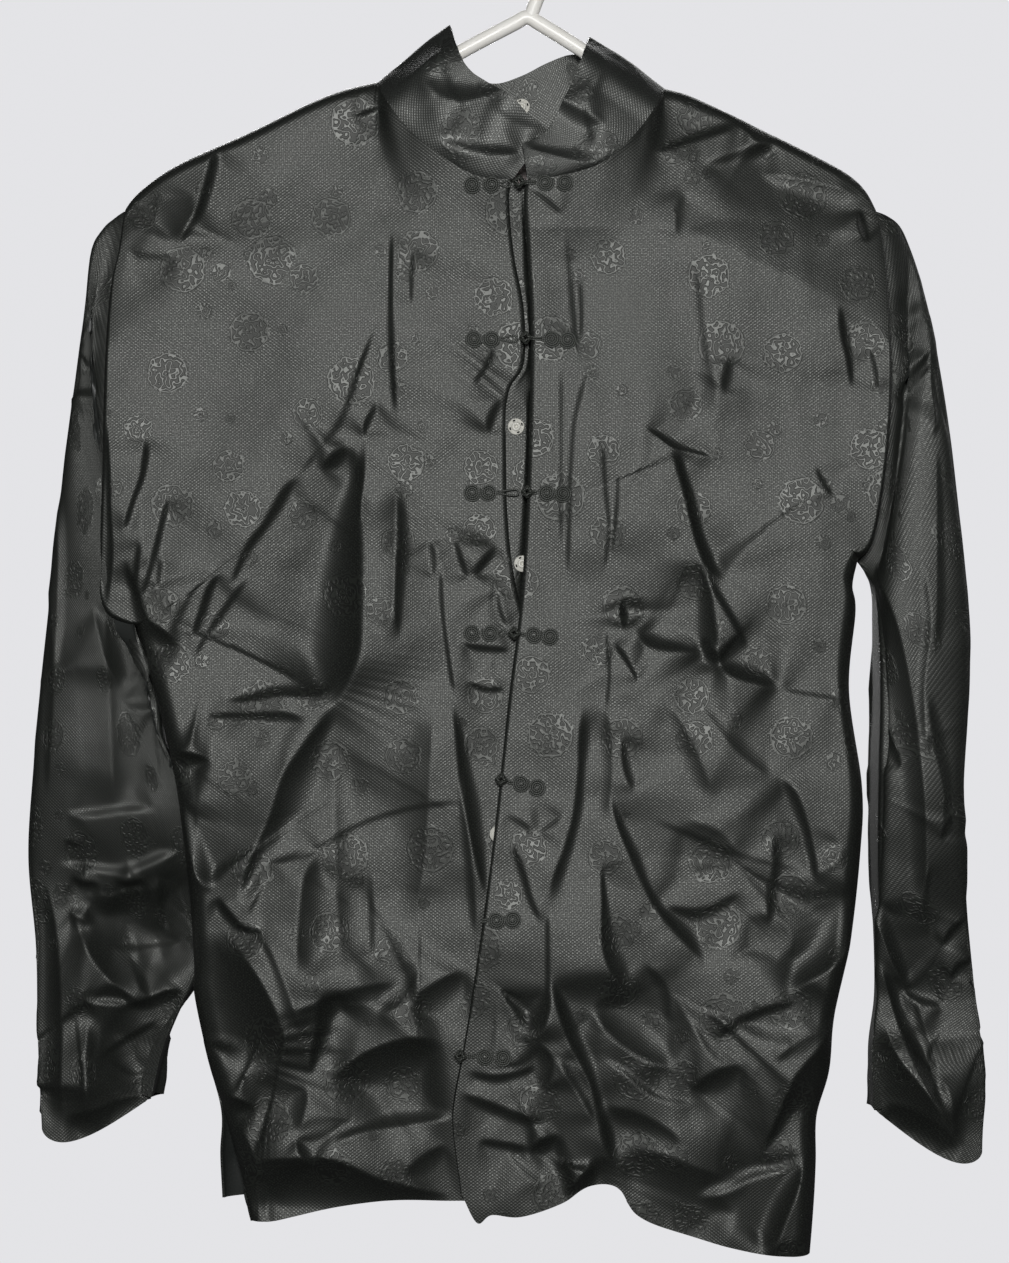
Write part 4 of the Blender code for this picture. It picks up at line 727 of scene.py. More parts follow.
    # base colour: the darker colour is painted shade in the hollows, the paler one the figures with painted
    # glint
    out_of_painted_shade = add(tree, "ShaderNodeMapRange", {0: tone, 1: -1.0, 2: 0.1}).outputs[0]
    figure_and_painted_glint = add(tree, "ShaderNodeMapRange", {0: tone, 1: 0.0, 2: 1.0}).outputs[0]
    shade = add(tree, "ShaderNodeMix", {0: out_of_painted_shade, 6: linear(dark_weave_and_shade), 7: linear(ground)},
                data_type="RGBA").outputs[2]
    shade = add(tree, "ShaderNodeMix", {0: figure_and_painted_glint, 6: shade, 7: linear(bright_figure_and_glint)}, data_type="RGBA").outputs[2]
    tree.links.new(shade, shader.inputs["Base Color"])
    gloss = add(tree, "ShaderNodeMapRange", {0: tone, 1: -1.0, 2: 1.0, 3: 0.62, 4: 0.37}).outputs[0]
    tree.links.new(gloss, shader.inputs["Roughness"])
    tree.links.new(bump.outputs[0], shader.inputs["Normal"])
    return material


def lining_cloth(name, colour):
    """Plain woven taffeta lining: a close even weave with a soft sheen. The real yarns lie 0.2 mm
    apart, drawn at about 1 mm."""
    material, shader, tree = finish_of(name, colour, ior=1.5, roughness=0.5)
    place = add(tree, "ShaderNodeAttribute", attribute_name="cut").outputs["Vector"]
    weave = add(tree, "ShaderNodeTexNoise", {"Vector": place, "Scale": 900.0, "Detail": 1.0}).outputs[0]
    shade = add(tree, "ShaderNodeMix", {0: weave, 6: linear("#131514"), 7: linear("#2B2E2C")},
                data_type="RGBA").outputs[2]
    tree.links.new(shade, shader.inputs["Base Color"])
    bump = add(tree, "ShaderNodeBump", {"Height": weave, "Strength": 0.3, "Distance": 0.00005})
    tree.links.new(bump.outputs[0], shader.inputs["Normal"])
    return material


# satin colours: ground, the figures' paler colour with painted glint, the hollows' darker colour with
# painted shade
satin = jacquard("jacquard_satin_black", "#151715", "#292C28", "#080908")
# the same satin pressed onto the collar's stiffening: flatter and shinier, with paler colours that are
# painted sheen
collar_satin_painted_sheen = jacquard("jacquard_satin_black_painted_sheen_collar", "#1B1D1B", "#303330", "#0A0B0A", 0.85)
lining = lining_cloth("taffeta_lining_black", "#202321")


def side_line(armhole, side, arm, below):
    """Armhole then side seam, read at their shares."""
    return np.vstack([even_curve(armhole, arm), even_curve(side, below)])


def cut_places(across, up, seed):
    """Where each point lies on the flat cloth, so that the figures fall differently on each piece."""
    shift = np.random.default_rng(seed).uniform(-400, 400, 2)
    return np.stack([across + shift[0], up + shift[1], np.zeros(across.shape)], axis=2)


def neck_part(first, last, columns):
    """The neck seam between two rows of the collar's table."""
    return even_curve([row[:3] for row in COLLAR], np.linspace(0, 1, columns + 1), first, last)


def make_back():
    """The back panel: its columns run from one side seam to the other."""
    arm, below, drops = row_shares(RIGHT_ARMHOLE, BACK_RIGHT_SIDE, (ARMHOLE_ROWS, SIDE_ROWS))
    neck = neck_part(RIGHT_NECK, LEFT_NECK, BACK_NECK_COLUMNS)
    right = even_curve(RIGHT_SHOULDER, shoulder_shares(SHOULDER_COLUMNS))[::-1]
    left = even_curve(LEFT_SHOULDER, shoulder_shares(SHOULDER_COLUMNS))
    top = np.vstack([right, neck[1:-1, [0, 2]], left])
    shares = (top[:, 0] - top[0, 0]) / (top[-1, 0] - top[0, 0])
    start = side_line(RIGHT_ARMHOLE, BACK_RIGHT_SIDE, arm, below)
    end = side_line(LEFT_ARMHOLE, BACK_LEFT_SIDE, arm, below)
    flat = coons(top, even_curve(BACK_HEM, shares), start, end, shares, drops)
    columns = slice(SHOULDER_COLUMNS, SHOULDER_COLUMNS + BACK_NECK_COLUMNS + 1)
    depth = hang(flat, neck[:, [0, 2]], columns, neck[:, 1], arm, True, True, BACK_DEPTH, BACK_FOLDS, 3)
    points = np.stack([flat[..., 0], depth, flat[..., 1]], axis=2)[:, ::-1]
    normals = grid_normals(points)
    shoulders = [slice(0, SHOULDER_COLUMNS + 1), slice(points.shape[1] - SHOULDER_COLUMNS - 1, None)]
    seat_seams(points, normals, shoulders, [0, -1], ARMHOLE_ROWS)
    cut = cut_places(points[..., 0], points[..., 2], 11)
    return lined_cloth("back_cloth", points, normals, CLOTH, cut, [satin, lining])


back = make_back()
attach(back, "root")
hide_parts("back")


# Fronts. The left one laps over the right; their edges are faced and turned, and both keep the
# packing creases and the soft drag folds of cloth that was folded away.
LEFT_FRONT_DEPTH = 27.0  # how far each front stands off the plane of the seams
RIGHT_FRONT_DEPTH = 19.5
FRONT_SHOULDER_COLUMNS = 104
FRONT_NECK_COLUMNS = 74
FRONT_ROWS = (178, 246)  # down the armhole, and down the side seam
RIGHT_SIDE = ((-244, -446), (-238, -469), (-230, -495), (-221, -535), (-212, -595), (-208, -654),
              (-208, -674), (-199, -716), (-189, -748), (-179, -783), (-171, -815))
LEFT_SIDE = ((206, -404), (203, -420), (205, -436), (201, -485), (209, -545), (208, -585), (202, -637),
             (192, -686), (189, -722), (181, -751), (180, -782), (176, -834))
RIGHT_HEM = ((5, -800), (-46, -801), (-82, -801), (-117, -806), (-154, -814), (-171, -815))
LEFT_HEM = ((-41, -794), (-31, -813), (-22, -808), (-4, -809), (21, -801), (39, -791), (56, -792),
            (68, -809), (94, -820), (142, -832), (176, -834))
RIGHT_EDGE = ((-9, -169), (-11, -181), (-8, -215), (-2, -248), (-2, -282), (-12, -302), (-13, -347),
              (-12, -378), (-9, -408), (-3, -435), (6, -459), (22, -503), (29, -538), (26, -584),
              (21, -623), (13, -706), (5, -800))
LEFT_EDGE = ((0, -170), (-2, -181), (0, -215), (2, -250), (2, -291), (0, -364), (-4, -429),
             (-11, -486), (-19, -560), (-27, -624), (-38, -697), (-45, -734), (-46, -754), (-41, -794))


def make_front(name, side, armhole, side_seam, shoulder, hem, edge, neck, depth, folds, seed):
    """A front panel: columns run from its side seam to its edge on the right, and the other way
    on the left."""
    arm, below, drops = row_shares(armhole, side_seam, FRONT_ROWS)
    along = shoulder_shares(FRONT_SHOULDER_COLUMNS)
    part = FRONT_SHOULDER_COLUMNS / (FRONT_SHOULDER_COLUMNS + FRONT_NECK_COLUMNS)
    seam = side_line(armhole, side_seam, arm, below)
    if side < 0:
        top = np.vstack([even_curve(shoulder, along)[::-1], neck[1:, [0, 2]]])
        shares = np.concatenate([part * (1 - along[::-1]), np.linspace(part, 1, FRONT_NECK_COLUMNS + 1)[1:]])
        start, end = seam, even_curve(edge, drops)
        columns = slice(FRONT_SHOULDER_COLUMNS, None)
        shoulder_seam = slice(0, FRONT_SHOULDER_COLUMNS + 1)
    else:
        top = np.vstack([neck[:-1, [0, 2]], even_curve(shoulder, along)])
        shares = np.concatenate([np.linspace(0, 1 - part, FRONT_NECK_COLUMNS + 1)[:-1],
                                 1 - part + part * along])
        start, end = even_curve(edge, drops), seam
        columns = slice(0, FRONT_NECK_COLUMNS + 1)
        shoulder_seam = slice(FRONT_NECK_COLUMNS, None)
    flat = coons(top, even_curve(hem, shares), start, end, shares, drops)
    depths = hang(flat, neck[:, [0, 2]], columns, -neck[:, 1], arm, side < 0, side > 0, depth, folds, seed)
    points = np.stack([flat[..., 0], -depths, flat[..., 1]], axis=2)
    normals = grid_normals(points)
    seat_seams(points, normals, [shoulder_seam], [0 if side < 0 else -1], FRONT_ROWS[0])
    cut = cut_places(points[..., 0], points[..., 2], seed)
    return lined_cloth(name, points, normals, CLOTH, cut, [satin, lining])


right_neck = neck_part(0, RIGHT_NECK, FRONT_NECK_COLUMNS)[::-1]
left_neck = neck_part(LEFT_NECK, len(COLLAR) - 1, FRONT_NECK_COLUMNS)[::-1]
front_right = make_front("front_right_cloth", -1, RIGHT_ARMHOLE, RIGHT_SIDE, RIGHT_SHOULDER,
                         RIGHT_HEM[::-1], RIGHT_EDGE, right_neck, RIGHT_FRONT_DEPTH, RIGHT_FOLDS, 5)
front_left = make_front("front_left_cloth", 1, LEFT_ARMHOLE, LEFT_SIDE, LEFT_SHOULDER, LEFT_HEM,
                        LEFT_EDGE, left_neck, LEFT_FRONT_DEPTH, LEFT_FOLDS, 8)
for front, node, area in ((front_right, "front_right", 0.155), (front_left, "front_left", 0.155)):
    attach(front, "root")
    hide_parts(node)


# Sleeves. Each is one piece of satin sewn into a tube and set into the armhole, pressed flat in
# the packing and now half open, so it hangs in long bands with short folds above the cuff.
SLEEVE_LIFT = 0.3        # between the sleeve's end and the armhole
SLEEVE_ROWS = 300
SLEEVE_ARC_COLUMNS = 96
PLUMP = 0.17             # shape of a sleeve's section: 1 would be an ellipse, 0 a box
LOWER_START = -530.0     # from here down the near face of a sleeve falls back
LOWER_TUCK = 0.9         # by this share of its depth,
LOWER_RUN = 160          # over this height
CUFF_DIP = 14.0          # the cuff hangs this much lower outside its middle
FAR_SHIFT = 23           # the far face has the near face's folds turned over and this much lower
# rings down each sleeve: outer end across and up, inner end across and up, middle's depth, half
# the depth, share of the armhole's curve
RIGHT_RINGS = (
    (-251, -185, -244, -446, 0, 12, 1.00),
    (-257, -189, -247, -450, 1, 12, 0.93),
    (-264, -196, -249, -455, 2, 14, 0.78),
    (-271, -210, -243, -462, 3, 17, 0.55),
    (-275, -240, -237, -473, 5, 20, 0.30),
    (-281, -284, -230, -490, 8, 23, 0.10),
    (-288, -338, -226, -515, 11, 25, 0.00),
    (-295, -400, -214, -547, 14, 26, 0.00),
    (-303, -470, -206, -584, 17, 27, 0.00),
    (-309, -535, -202, -623, 19, 28, 0.00),
    (-313, -590, -205, -656, 20, 28, 0.00),
    (-309, -645, -219, -686, 18, 29, 0.00),
    (-308, -700, -229, -711, 16, 30, 0.00),
    (-305, -760, -236, -741, 14, 31, 0.00),
)
LEFT_RINGS = (
    (217, -185, 206, -404, 0, 12, 1.00),
    (225, -188, 210, -409, 1, 13, 0.93),
    (233, -194, 213, -413, 4, 16, 0.75),
    (239, -206, 216, -418, 8, 20, 0.50),
    (246, -228, 218, -427, 10, 23, 0.25),
    (253, -258, 219, -442, 13, 27, 0.08),
    (262, -310, 220, -467, 15, 30, 0.00),
    (269, -368, 220, -500, 16, 32, 0.00),
    (275, -430, 219, -536, 17, 34, 0.00),
    (275, -495, 219, -573, 17, 35, 0.00),
    (272, -553, 220, -611, 17, 35, 0.00),
    (275, -610, 221, -645, 16, 35, 0.00),
    (281, -667, 221, -680, 15, 35, 0.00),
    (287, -722, 217, -712, 13, 35, 0.00),
    (286, -774, 218, -748, 11, 35, 0.00),
)
RIGHT_SLEEVE_FOLDS = (
    (-0.42, ((-293, -757, 10), (-273, -758, 18.8), (-254, -751, 17.5), (-236, -742, 8.8))),
    (-0.3, ((-236, -453, 3.8), (-231, -484, 6.2), (-229, -516, 6.2), (-226, -547, 3.8))),
    (-0.3, ((-284, -271, 1.9), (-277, -279, 3.8), (-268, -286, 2.5))),
    (0.34, ((-288, -304, 2.5), (-277, -299, 5), (-264, -302, 2.5))),
    (-0.24, ((-292, -347, 2.5), (-288, -391, 5.6), (-289, -434, 5.6), (-292, -478, 3.1))),
    (0.5, ((-288, -561, 2.5), (-273, -561, 5), (-253, -558, 5), (-231, -557, 2.5))),
    (0.55, ((-294, -593, 2.5), (-272, -595, 4.4), (-253, -596, 5.6), (-238, -591, 5.6), (-226, -586, 5),
            (-214, -584, 3.1))),
    (-0.62, ((-283, -613, 7.5), (-272, -629, 21.2), (-259, -643, 31.2), (-246, -657, 33.8),
            (-236, -673, 21.2), (-229, -683, 7.5))),
    (-0.55, ((-286, -602, 3.8), (-278, -607, 6.9), (-267, -606, 3.8))),
    (-0.55, ((-259, -604, 3.8), (-248, -607, 8.8), (-238, -603, 5))),
    (-0.4, ((-231, -598, 3.8), (-227, -608, 8.8), (-229, -623, 6.2), (-227, -641, 3.8))),
    (-0.46, ((-289, -624, 3.8), (-282, -631, 10), (-272, -634, 5))),
    (0.55, ((-279, -678, 3.8), (-266, -678, 7.5), (-249, -681, 5))),
    (-0.55, ((-254, -684, 3.1), (-241, -683, 7.5), (-226, -678, 8.8), (-216, -674, 3.8))),
    (-0.34, ((-232, -694, 3.1), (-248, -703, 4.4), (-268, -716, 3.8))),
    (-0.55, ((-272, -684, 8.8), (-264, -709, 23.8), (-259, -734, 31.2), (-263, -761, 27.5))),
    (0.4, ((-304, -603, 3.8), (-300, -634, 8.8), (-298, -672, 11.2), (-298, -716, 12.5),
            (-298, -762, 12.5))),
    (-0.3, ((-262, -422, 3.8), (-256, -453, 10), (-251, -491, 16.2), (-249, -534, 17.5), (-253, -564, 10))),
    (0.34, ((-252, -491, 3.1), (-246, -493, 6.2), (-234, -494, 6.2), (-228, -499, 3.1))),
    (-0.4, ((-269, -431, 3.1), (-262, -443, 10), (-253, -459, 18.8), (-247, -483, 11.2))),
    (0.3, ((-274, -247, 1.9), (-269, -253, 4.4), (-264, -262, 2.5))),
    (0.26, ((-284, -302, 2.5), (-276, -298, 3.8), (-264, -298, 2.5))),
    (-0.24, ((-283, -269, 1.9), (-278, -278, 3.8), (-273, -289, 2.5))),
    (0.2, ((-301, -403, 3.8), (-298, -453, 6.2), (-298, -503, 6.2), (-301, -553, 3.8))),
    (-0.24, ((-289, -579, 5), (-284, -582, 5), (-277, -581, 2.5))),
    (0.4, ((-263, -646, 2.5), (-249, -648, 3.8), (-232, -647, 3.8), (-217, -644, 2.5))),
    (-0.3, ((-249, -653, 2.5), (-242, -668, 5), (-236, -679, 3.1))),
    (0.28, ((-264, -716, 2.5), (-249, -726, 5), (-236, -722, 3.1))),
    (-0.22, ((-238, -378, 2.5), (-236, -403, 2.5), (-236, -428, 1.9))),
)
LEFT_SLEEVE_FOLDS = (
    (-0.42, ((224, -746, 7.5), (241, -757, 17.5), (258, -768, 18.8), (274, -773, 7.5))),
    (0.24, ((244, -403, 3.8), (247, -441, 6.2), (243, -484, 6.2), (246, -528, 3.8))),
    (-0.26, ((252, -591, 3.1), (249, -616, 5), (254, -641, 3.8))),
    (-0.6, ((251, -273, 1.9), (246, -282, 5), (238, -291, 6.2), (231, -300, 6.2), (226, -307, 3.1))),
    (-0.34, ((252, -282, 1.9), (243, -292, 3.8), (233, -302, 2.5))),
    (-0.5, ((223, -236, 2.5), (226, -243, 6.2), (227, -254, 4.4))),
    (-0.46, ((223, -259, 1.9), (226, -264, 5.6), (229, -269, 1.9))),
    (-0.46, ((223, -276, 1.9), (226, -281, 6.2), (227, -291, 3.8), (226, -301, 2.5))),
    (-0.2, ((249, -218, 2.5), (254, -226, 5), (258, -234, 2.5))),
    (-0.26, ((252, -266, 2.5), (254, -291, 4.4), (256, -316, 3.8), (252, -329, 2.5))),
    (-0.24, ((256, -334, 2.5), (257, -378, 5), (257, -428, 6.2), (254, -466, 5))),
    (0.34, ((213, -391, 3.8), (219, -422, 8.8), (226, -453, 12.5), (232, -491, 15), (237, -528, 13.8),
            (241, -566, 12.5), (243, -603, 11.2), (244, -634, 7.5))),
    (0.3, ((221, -509, 3.8), (226, -523, 7.5), (231, -534, 3.8))),
    (-0.24, ((249, -484, 3.8), (256, -516, 8.8), (261, -547, 6.2), (259, -572, 3.8))),
    (-0.34, ((257, -577, 2.5), (261, -569, 6.2), (264, -561, 3.1))),
    (-0.55, ((221, -616, 5), (227, -634, 8.8), (234, -654, 9.4), (242, -673, 5.6))),
    (-0.55, ((223, -652, 3.8), (232, -678, 7.5), (241, -703, 9.4), (251, -727, 8.8), (261, -753, 5))),
    (0.55, ((236, -673, 3.1), (248, -679, 6.2), (263, -683, 3.8))),
    (0.52, ((221, -691, 5), (224, -716, 16.2), (233, -738, 27.5), (248, -759, 30), (261, -773, 12.5))),
    (-0.5, ((261, -646, 2.5), (267, -637, 6.2), (276, -628, 4.4))),
    (-0.4, ((267, -667, 2.5), (272, -659, 6.2), (281, -654, 3.1))),
    (-0.36, ((237, -698, 3.8), (248, -717, 6.2), (256, -719, 3.1))),
    (0.3, ((256, -727, 5), (262, -743, 6.2), (266, -766, 3.8))),
    (-0.2, ((212, -187, 2.5), (211, -197, 3.8), (208, -207, 2.5))),
    (0.3, ((242, -678, 3.8), (249, -703, 6.2), (257, -728, 3.8))),
)


def make_sleeve(name, rings, armhole, side, folds, seed):
    """A sleeve: rings of near and far faces from the armhole to the cuff, then its folds."""
    arm = (1 - np.cos(np.linspace(0, math.pi, SLEEVE_ARC_COLUMNS + 1))) / 2
    seam = even_curve(armhole, arm)
    bow = seam - (seam[0] + arm[:, None] * (seam[-1] - seam[0]))
    grid = []
    shares = np.linspace(0, 1, SLEEVE_ROWS + 1)
    for share, place in zip(shares, even_curve(rings, shares)):
        out_x, out_z, in_x, in_z, middle, half_depth, curve = place
        curve = min(max(curve, 0), 1)
        outer_end = np.array([out_x, out_z])
        inner_end = np.array([in_x, in_z])
        spine = outer_end + arm[:, None] * (inner_end - outer_end) + curve * bow
        spine[:, 1] -= CUFF_DIP * smooth_step(share * 4 - 3) * np.sin(math.pi * arm ** 0.6)
        plump = half_depth * (2 * np.sqrt(arm * (1 - arm))) ** PLUMP
        depth = curve * armhole_depth(arm) + (1 - curve) * plump
        tuck = 1 - LOWER_TUCK * smooth_step((LOWER_START - spine[:, 1]) / LOWER_RUN)
        near = np.column_stack([spine[:, 0], middle - depth * tuck, spine[:, 1]])
        far = np.column_stack([spine[:, 0], middle + depth, spine[:, 1]])[1:-1]
        ring = np.vstack([near, far[::-1]])
        grid.append(ring if side < 0 else np.roll(ring[::-1], 1, axis=0))
    grid = np.array(grid)
    away = grid[1] - grid[0]
    grid[0] += SLEEVE_LIFT * away / np.linalg.norm(away, axis=1, keepdims=True)
    normals = grid_normals(grid, wrap=True)
    facing = normals[..., 1]
    across, up = grid[..., 0], grid[..., 2]
    fold = RELIEF * fold_heights(across, up, folds) * smooth_step(-facing * 2.5)
    shifted = [(-tilt, [(x, z - FAR_SHIFT, w) for x, z, w in places]) for tilt, places in folds]
    fold += fold_heights(across, up, shifted) * smooth_step(facing * 2.5)
    fold += 0.8 * unevenness(across, up, seed) * smooth_step(np.abs(facing) * 2)
    settle = smooth_step(np.arange(len(grid)) / 14)[:, None]
    grid = grid + (fold * settle)[..., None] * normals
    around = np.linalg.norm(np.roll(grid, -1, axis=1) - grid, axis=2)
    around = np.concatenate([np.zeros((len(grid), 1)), np.cumsum(around, axis=1)[:, :-1]], axis=1)
    cut = cut_places(around, grid[..., 2], seed)
    return lined_cloth(name, grid, grid_normals(grid, wrap=True), CLOTH, cut, [satin, lining], wrap=True)


for node, rings, armhole, side, folds, seed in (
        ("sleeve_right", RIGHT_RINGS, RIGHT_ARMHOLE, -1, RIGHT_SLEEVE_FOLDS, 21),
        ("sleeve_left", LEFT_RINGS, LEFT_ARMHOLE, 1, LEFT_SLEEVE_FOLDS, 22)):
    sleeve = make_sleeve(node + "_cloth", rings, armhole, side, folds, seed)
    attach(sleeve, "root")
    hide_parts(node)


# Collar. A stiffened stand about 50 mm high of the same satin inside and out, sewn into the neck
# seam; its two fronts have sagged and are creased across.
COLLAR_CLOTH = 2.0
COLLAR_LIFT = 0.15       # between the collar and the neck seam
COLLAR_BOW = 1.2         # the band bulges by this between seam and top edge
COLLAR_TIP = 3.2         # the fronts' top edge leans forward of their seam by this
COLLAR_COLUMNS = 240
COLLAR_RISE_ROWS = 24
COLLAR_FOLDS = (
    (0.22, ((-81, -109, 6.2), (-73, -97, 13.8), (-61, -87, 15), (-47, -82, 6.2))),
    (0.52, ((-67, -104, 3.8), (-54, -111, 11.2), (-42, -114, 15), (-28, -113, 11.2), (-11, -112, 2.5))),
    (0.62, ((-57, -143, 3.8), (-41, -147, 6.9), (-22, -150, 7.5), (-1, -151, 7.5))),
    (0.48, ((-2, -148, 6.2), (14, -151, 6.9), (29, -154, 8.8), (41, -156, 7.5), (53, -149, 2.5))),
    (-0.48, ((14, -119, 2.5), (24, -128, 10), (34, -134, 10), (48, -138, 3.8))),
    (-0.16, ((46, -87, 3.8), (61, -99, 8.8), (74, -113, 5))),
    (0.2, ((-23, -123, 2.5), (-9, -130, 7.5), (2, -134, 7.5), (13, -138, 3.8))),
)


def make_collar():
    """The collar's band: its rows rise from the neck seam to the top edge."""
    stations = even_curve(COLLAR, np.linspace(0, 1, COLLAR_COLUMNS + 1))
    seam, top = stations[:, :3], stations[:, 3:].copy()
    front = smooth_step(-seam[:, 1] / 20)
    top[:, 1] += front * (seam[:, 1] - COLLAR_TIP - top[:, 1])
    rise = top - seam
    seam = seam + COLLAR_LIFT * rise / np.linalg.norm(rise, axis=1, keepdims=True)
    shares = np.linspace(0, 1, COLLAR_RISE_ROWS + 1)
    grid = np.array([seam + s * (top - seam) for s in shares])
    normals = grid_normals(grid)
    bow = COLLAR_BOW * np.sin(math.pi * shares) ** 0.8
    grid = grid + bow[:, None, None] * normals
    normals = grid_normals(grid)
    fold = fold_heights(grid[..., 0], grid[..., 2], COLLAR_FOLDS) * smooth_step(-normals[..., 1] * 2.2)
    fold += 0.5 * unevenness(grid[..., 0] * 1.3, grid[..., 2] * 1.3, 31)
    hold = np.sin(math.pi * np.clip(shares, 0, 0.5)) ** 0.7
    grid = grid + (fold * hold[:, None])[..., None] * normals
    run = np.concatenate([[0], np.cumsum(np.linalg.norm(np.diff(stations[:, :3], axis=0), axis=1))])
    cut = np.zeros_like(grid)
    cut[..., 0] = run + 130
    cut[..., 1] = 50 * shares[:, None] + 17
    # the collar takes the paler copy of the satin, its paler colour painted sheen
    return lined_cloth("collar_cloth", grid, grid_normals(grid), COLLAR_CLOTH, cut, [collar_satin_painted_sheen])


collar = make_collar()
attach(collar, "root")
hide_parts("collar")


# Underlap. A narrow double strip sewn behind the right front's edge; it carries the press studs
# and shows between the two fronts.
UNDERLAP_TUCK = 5.0      # it starts this far behind the right front's edge,
UNDERLAP_REACH = 15.0    # and reaches this far past it
UNDERLAP_TURN = 1.3      # beside the left front's edge it turns back over this width,
UNDERLAP_DEEP = 3.6      # and this deep
UNDERLAP_CLOTH = 1.2
UNDERLAP_DROP = 3.0      # its top lies this much below the neck seam


class Surface:
    """A cloth face that other pieces are laid on: finds its depth at a place across and up."""

    def __init__(self, pieces, start_depth, direction, feeler=1.0):
        points = []
        faces = []
        for piece in pieces:
            first = len(points)
            points += [v.co for v in piece.data.vertices]
            faces += [[first + k for k in p.vertices] for p in piece.data.polygons]
        self.tree = BVHTree.FromPolygons(points, faces)
        self.start = start_depth
        self.direction = direction
        self.feeler = feeler

    def depth(self, across, up, anchor):
        """Foremost depth close round a place; a place off the cloth moves towards the anchor."""
        f = self.feeler
        for share in np.linspace(0, 1, 61):
            x = across + (anchor[0] - across) * share
            z = up + (anchor[1] - up) * share
            found = []
            for dx, dz in ((0, 0), (f, 0), (-f, 0), (0, f), (0, -f)):
                origin = Vector(((x + dx) * MM, self.start * MM, (z + dz) * MM))
                hit = self.tree.ray_cast(origin, Vector((0, self.direction, 0)))[0]
                if hit is not None:
                    found.append(self.direction * hit.y / MM)
            if len(found) == 5:
                return self.direction * min(found)
        raise ValueError("no cloth behind this place")


on_right = Surface([front_right, collar], -120, 1)
on_left = Surface([front_left, collar], -120, 1)


def make_underlap():
    """The strip follows the right front's edge, laid just behind that front's face."""
    edge = even_curve(RIGHT_EDGE, np.linspace(0, 1, 241))
    middle = (edge[0][1] + edge[-1][1]) / 2
    lap = even_curve(LEFT_EDGE, np.linspace(0, 1, 241))
    steps = np.linspace(-UNDERLAP_TUCK, UNDERLAP_REACH, 29)
    rows = []
    for across, up in edge:
        level = min(up, edge[0][1] - UNDERLAP_DROP)
        depth = on_right.depth(across - 3, level, (across - 15, level + (middle - level) * 0.02))
        covered = np.interp(-level, -lap[:, 1], lap[:, 0])
        back_in = UNDERLAP_DEEP * smooth_step((across + steps - covered + UNDERLAP_TURN) / UNDERLAP_TURN)
        rows.append([(across + s, depth + CLOTH + 0.9 + 0.5 * math.sin(up / 23 + s / 9) + b, level)
                     for s, b in zip(steps, back_in * smooth_step((-185 - level) / 20))])
    grid = np.array(rows)
    smooth = grid.copy()
    for _ in range(12):
        smooth[1:-1, :, 1] = (smooth[:-2, :, 1] + smooth[2:, :, 1]) / 2
    smooth[..., 1] = np.maximum(smooth[..., 1], grid[..., 1] - 0.3)
    cut = cut_places(smooth[..., 0], smooth[..., 2], 41)
    return lined_cloth("underlap_cloth", smooth, grid_normals(smooth), UNDERLAP_CLOTH, cut, [satin, lining])


underlap = make_underlap()
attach(underlap, "root")
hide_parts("underlap")


# Neck label. A blank label of pale polyester, woven as a narrow tape, cut to length and sewn flat
# inside the back neck.
LABEL = (-18, 22, -182, -152)   # left, right, bottom, top
LABEL_CLOTH = 1.0


def make_label():
    """The label, laid on the inside of the back, with its own tape material."""
    left, right, bottom, top = LABEL
    inside_back = Surface([back], 0, 1, 0.6)
    middle = ((left + right) / 2, bottom)
    grid = np.array([[(x, inside_back.depth(x, z, middle) - 0.4 - LABEL_CLOTH, z)
                      for x in np.linspace(left, right, 33)] for z in np.linspace(top, bottom, 25)])
    # woven polyester tape: matt and faintly ribbed, the ribs drawn coarser than the real ones
    material, shader, tree = finish_of("woven_label_tape", "#E6D9D6", roughness=0.75, ior=1.5)
    place = add(tree, "ShaderNodeAttribute", attribute_name="cut").outputs["Vector"]
    ribs = add(tree, "ShaderNodeTexWave", {"Vector": place, "Scale": 260.0, "Distortion": 0.6},
               bands_direction="Y").outputs[1]
    shade = add(tree, "ShaderNodeMix", {0: ribs, 6: linear("#CDBDBA"), 7: linear("#F0E6E3")},
                data_type="RGBA").outputs[2]
    tree.links.new(shade, shader.inputs["Base Color"])
    bump = add(tree, "ShaderNodeBump", {"Height": ribs, "Strength": 0.4, "Distance": 0.0001})
    tree.links.new(bump.outputs[0], shader.inputs["Normal"])
    cut = cut_places(grid[..., 0], grid[..., 2], 51)
    return lined_cloth("neck_label_tape", grid, grid_normals(grid), LABEL_CLOTH * 0.5, cut, [material])


label = make_label()
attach(label, "root")
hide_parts("neck_label")


# Frogs. Seven closures of thin black satin cord: each half is two flat coils sewn side by side,
# the right half ends in a loop and the left half in a ball knot.
CORD_RADIUS = 0.64
COIL_RADIUS = 6.0
COIL_TURNS = 3.6
KNOT_RADIUS = 3.1
LOOP_HALF = 1.9          # half the width of the loop that takes the knot,
LOOP_ROUND = 2.2         # and the length of its round end
#   up, right outer coil, right inner coil, loop end, knot, left inner coil, left outer coil, left drop
FROGS = (
    (-172, -34, -22, -10, -5, 11, 23, 0),
    (-267, -33, -22, -6, -1, 15, 25, 1),
    (-362, -34, -24, -5, 0, 12, 22, 1),
    (-449, -34, -23, -13, -8, 4, 14, 2),
    (-539, 0, 10, 24, -16, -4, 6, 5),
    (-626, -7, 4, 17, None, -19, -9, -1),
    (-709, -16, -6, 9, -41, -26, -15, 1),
)


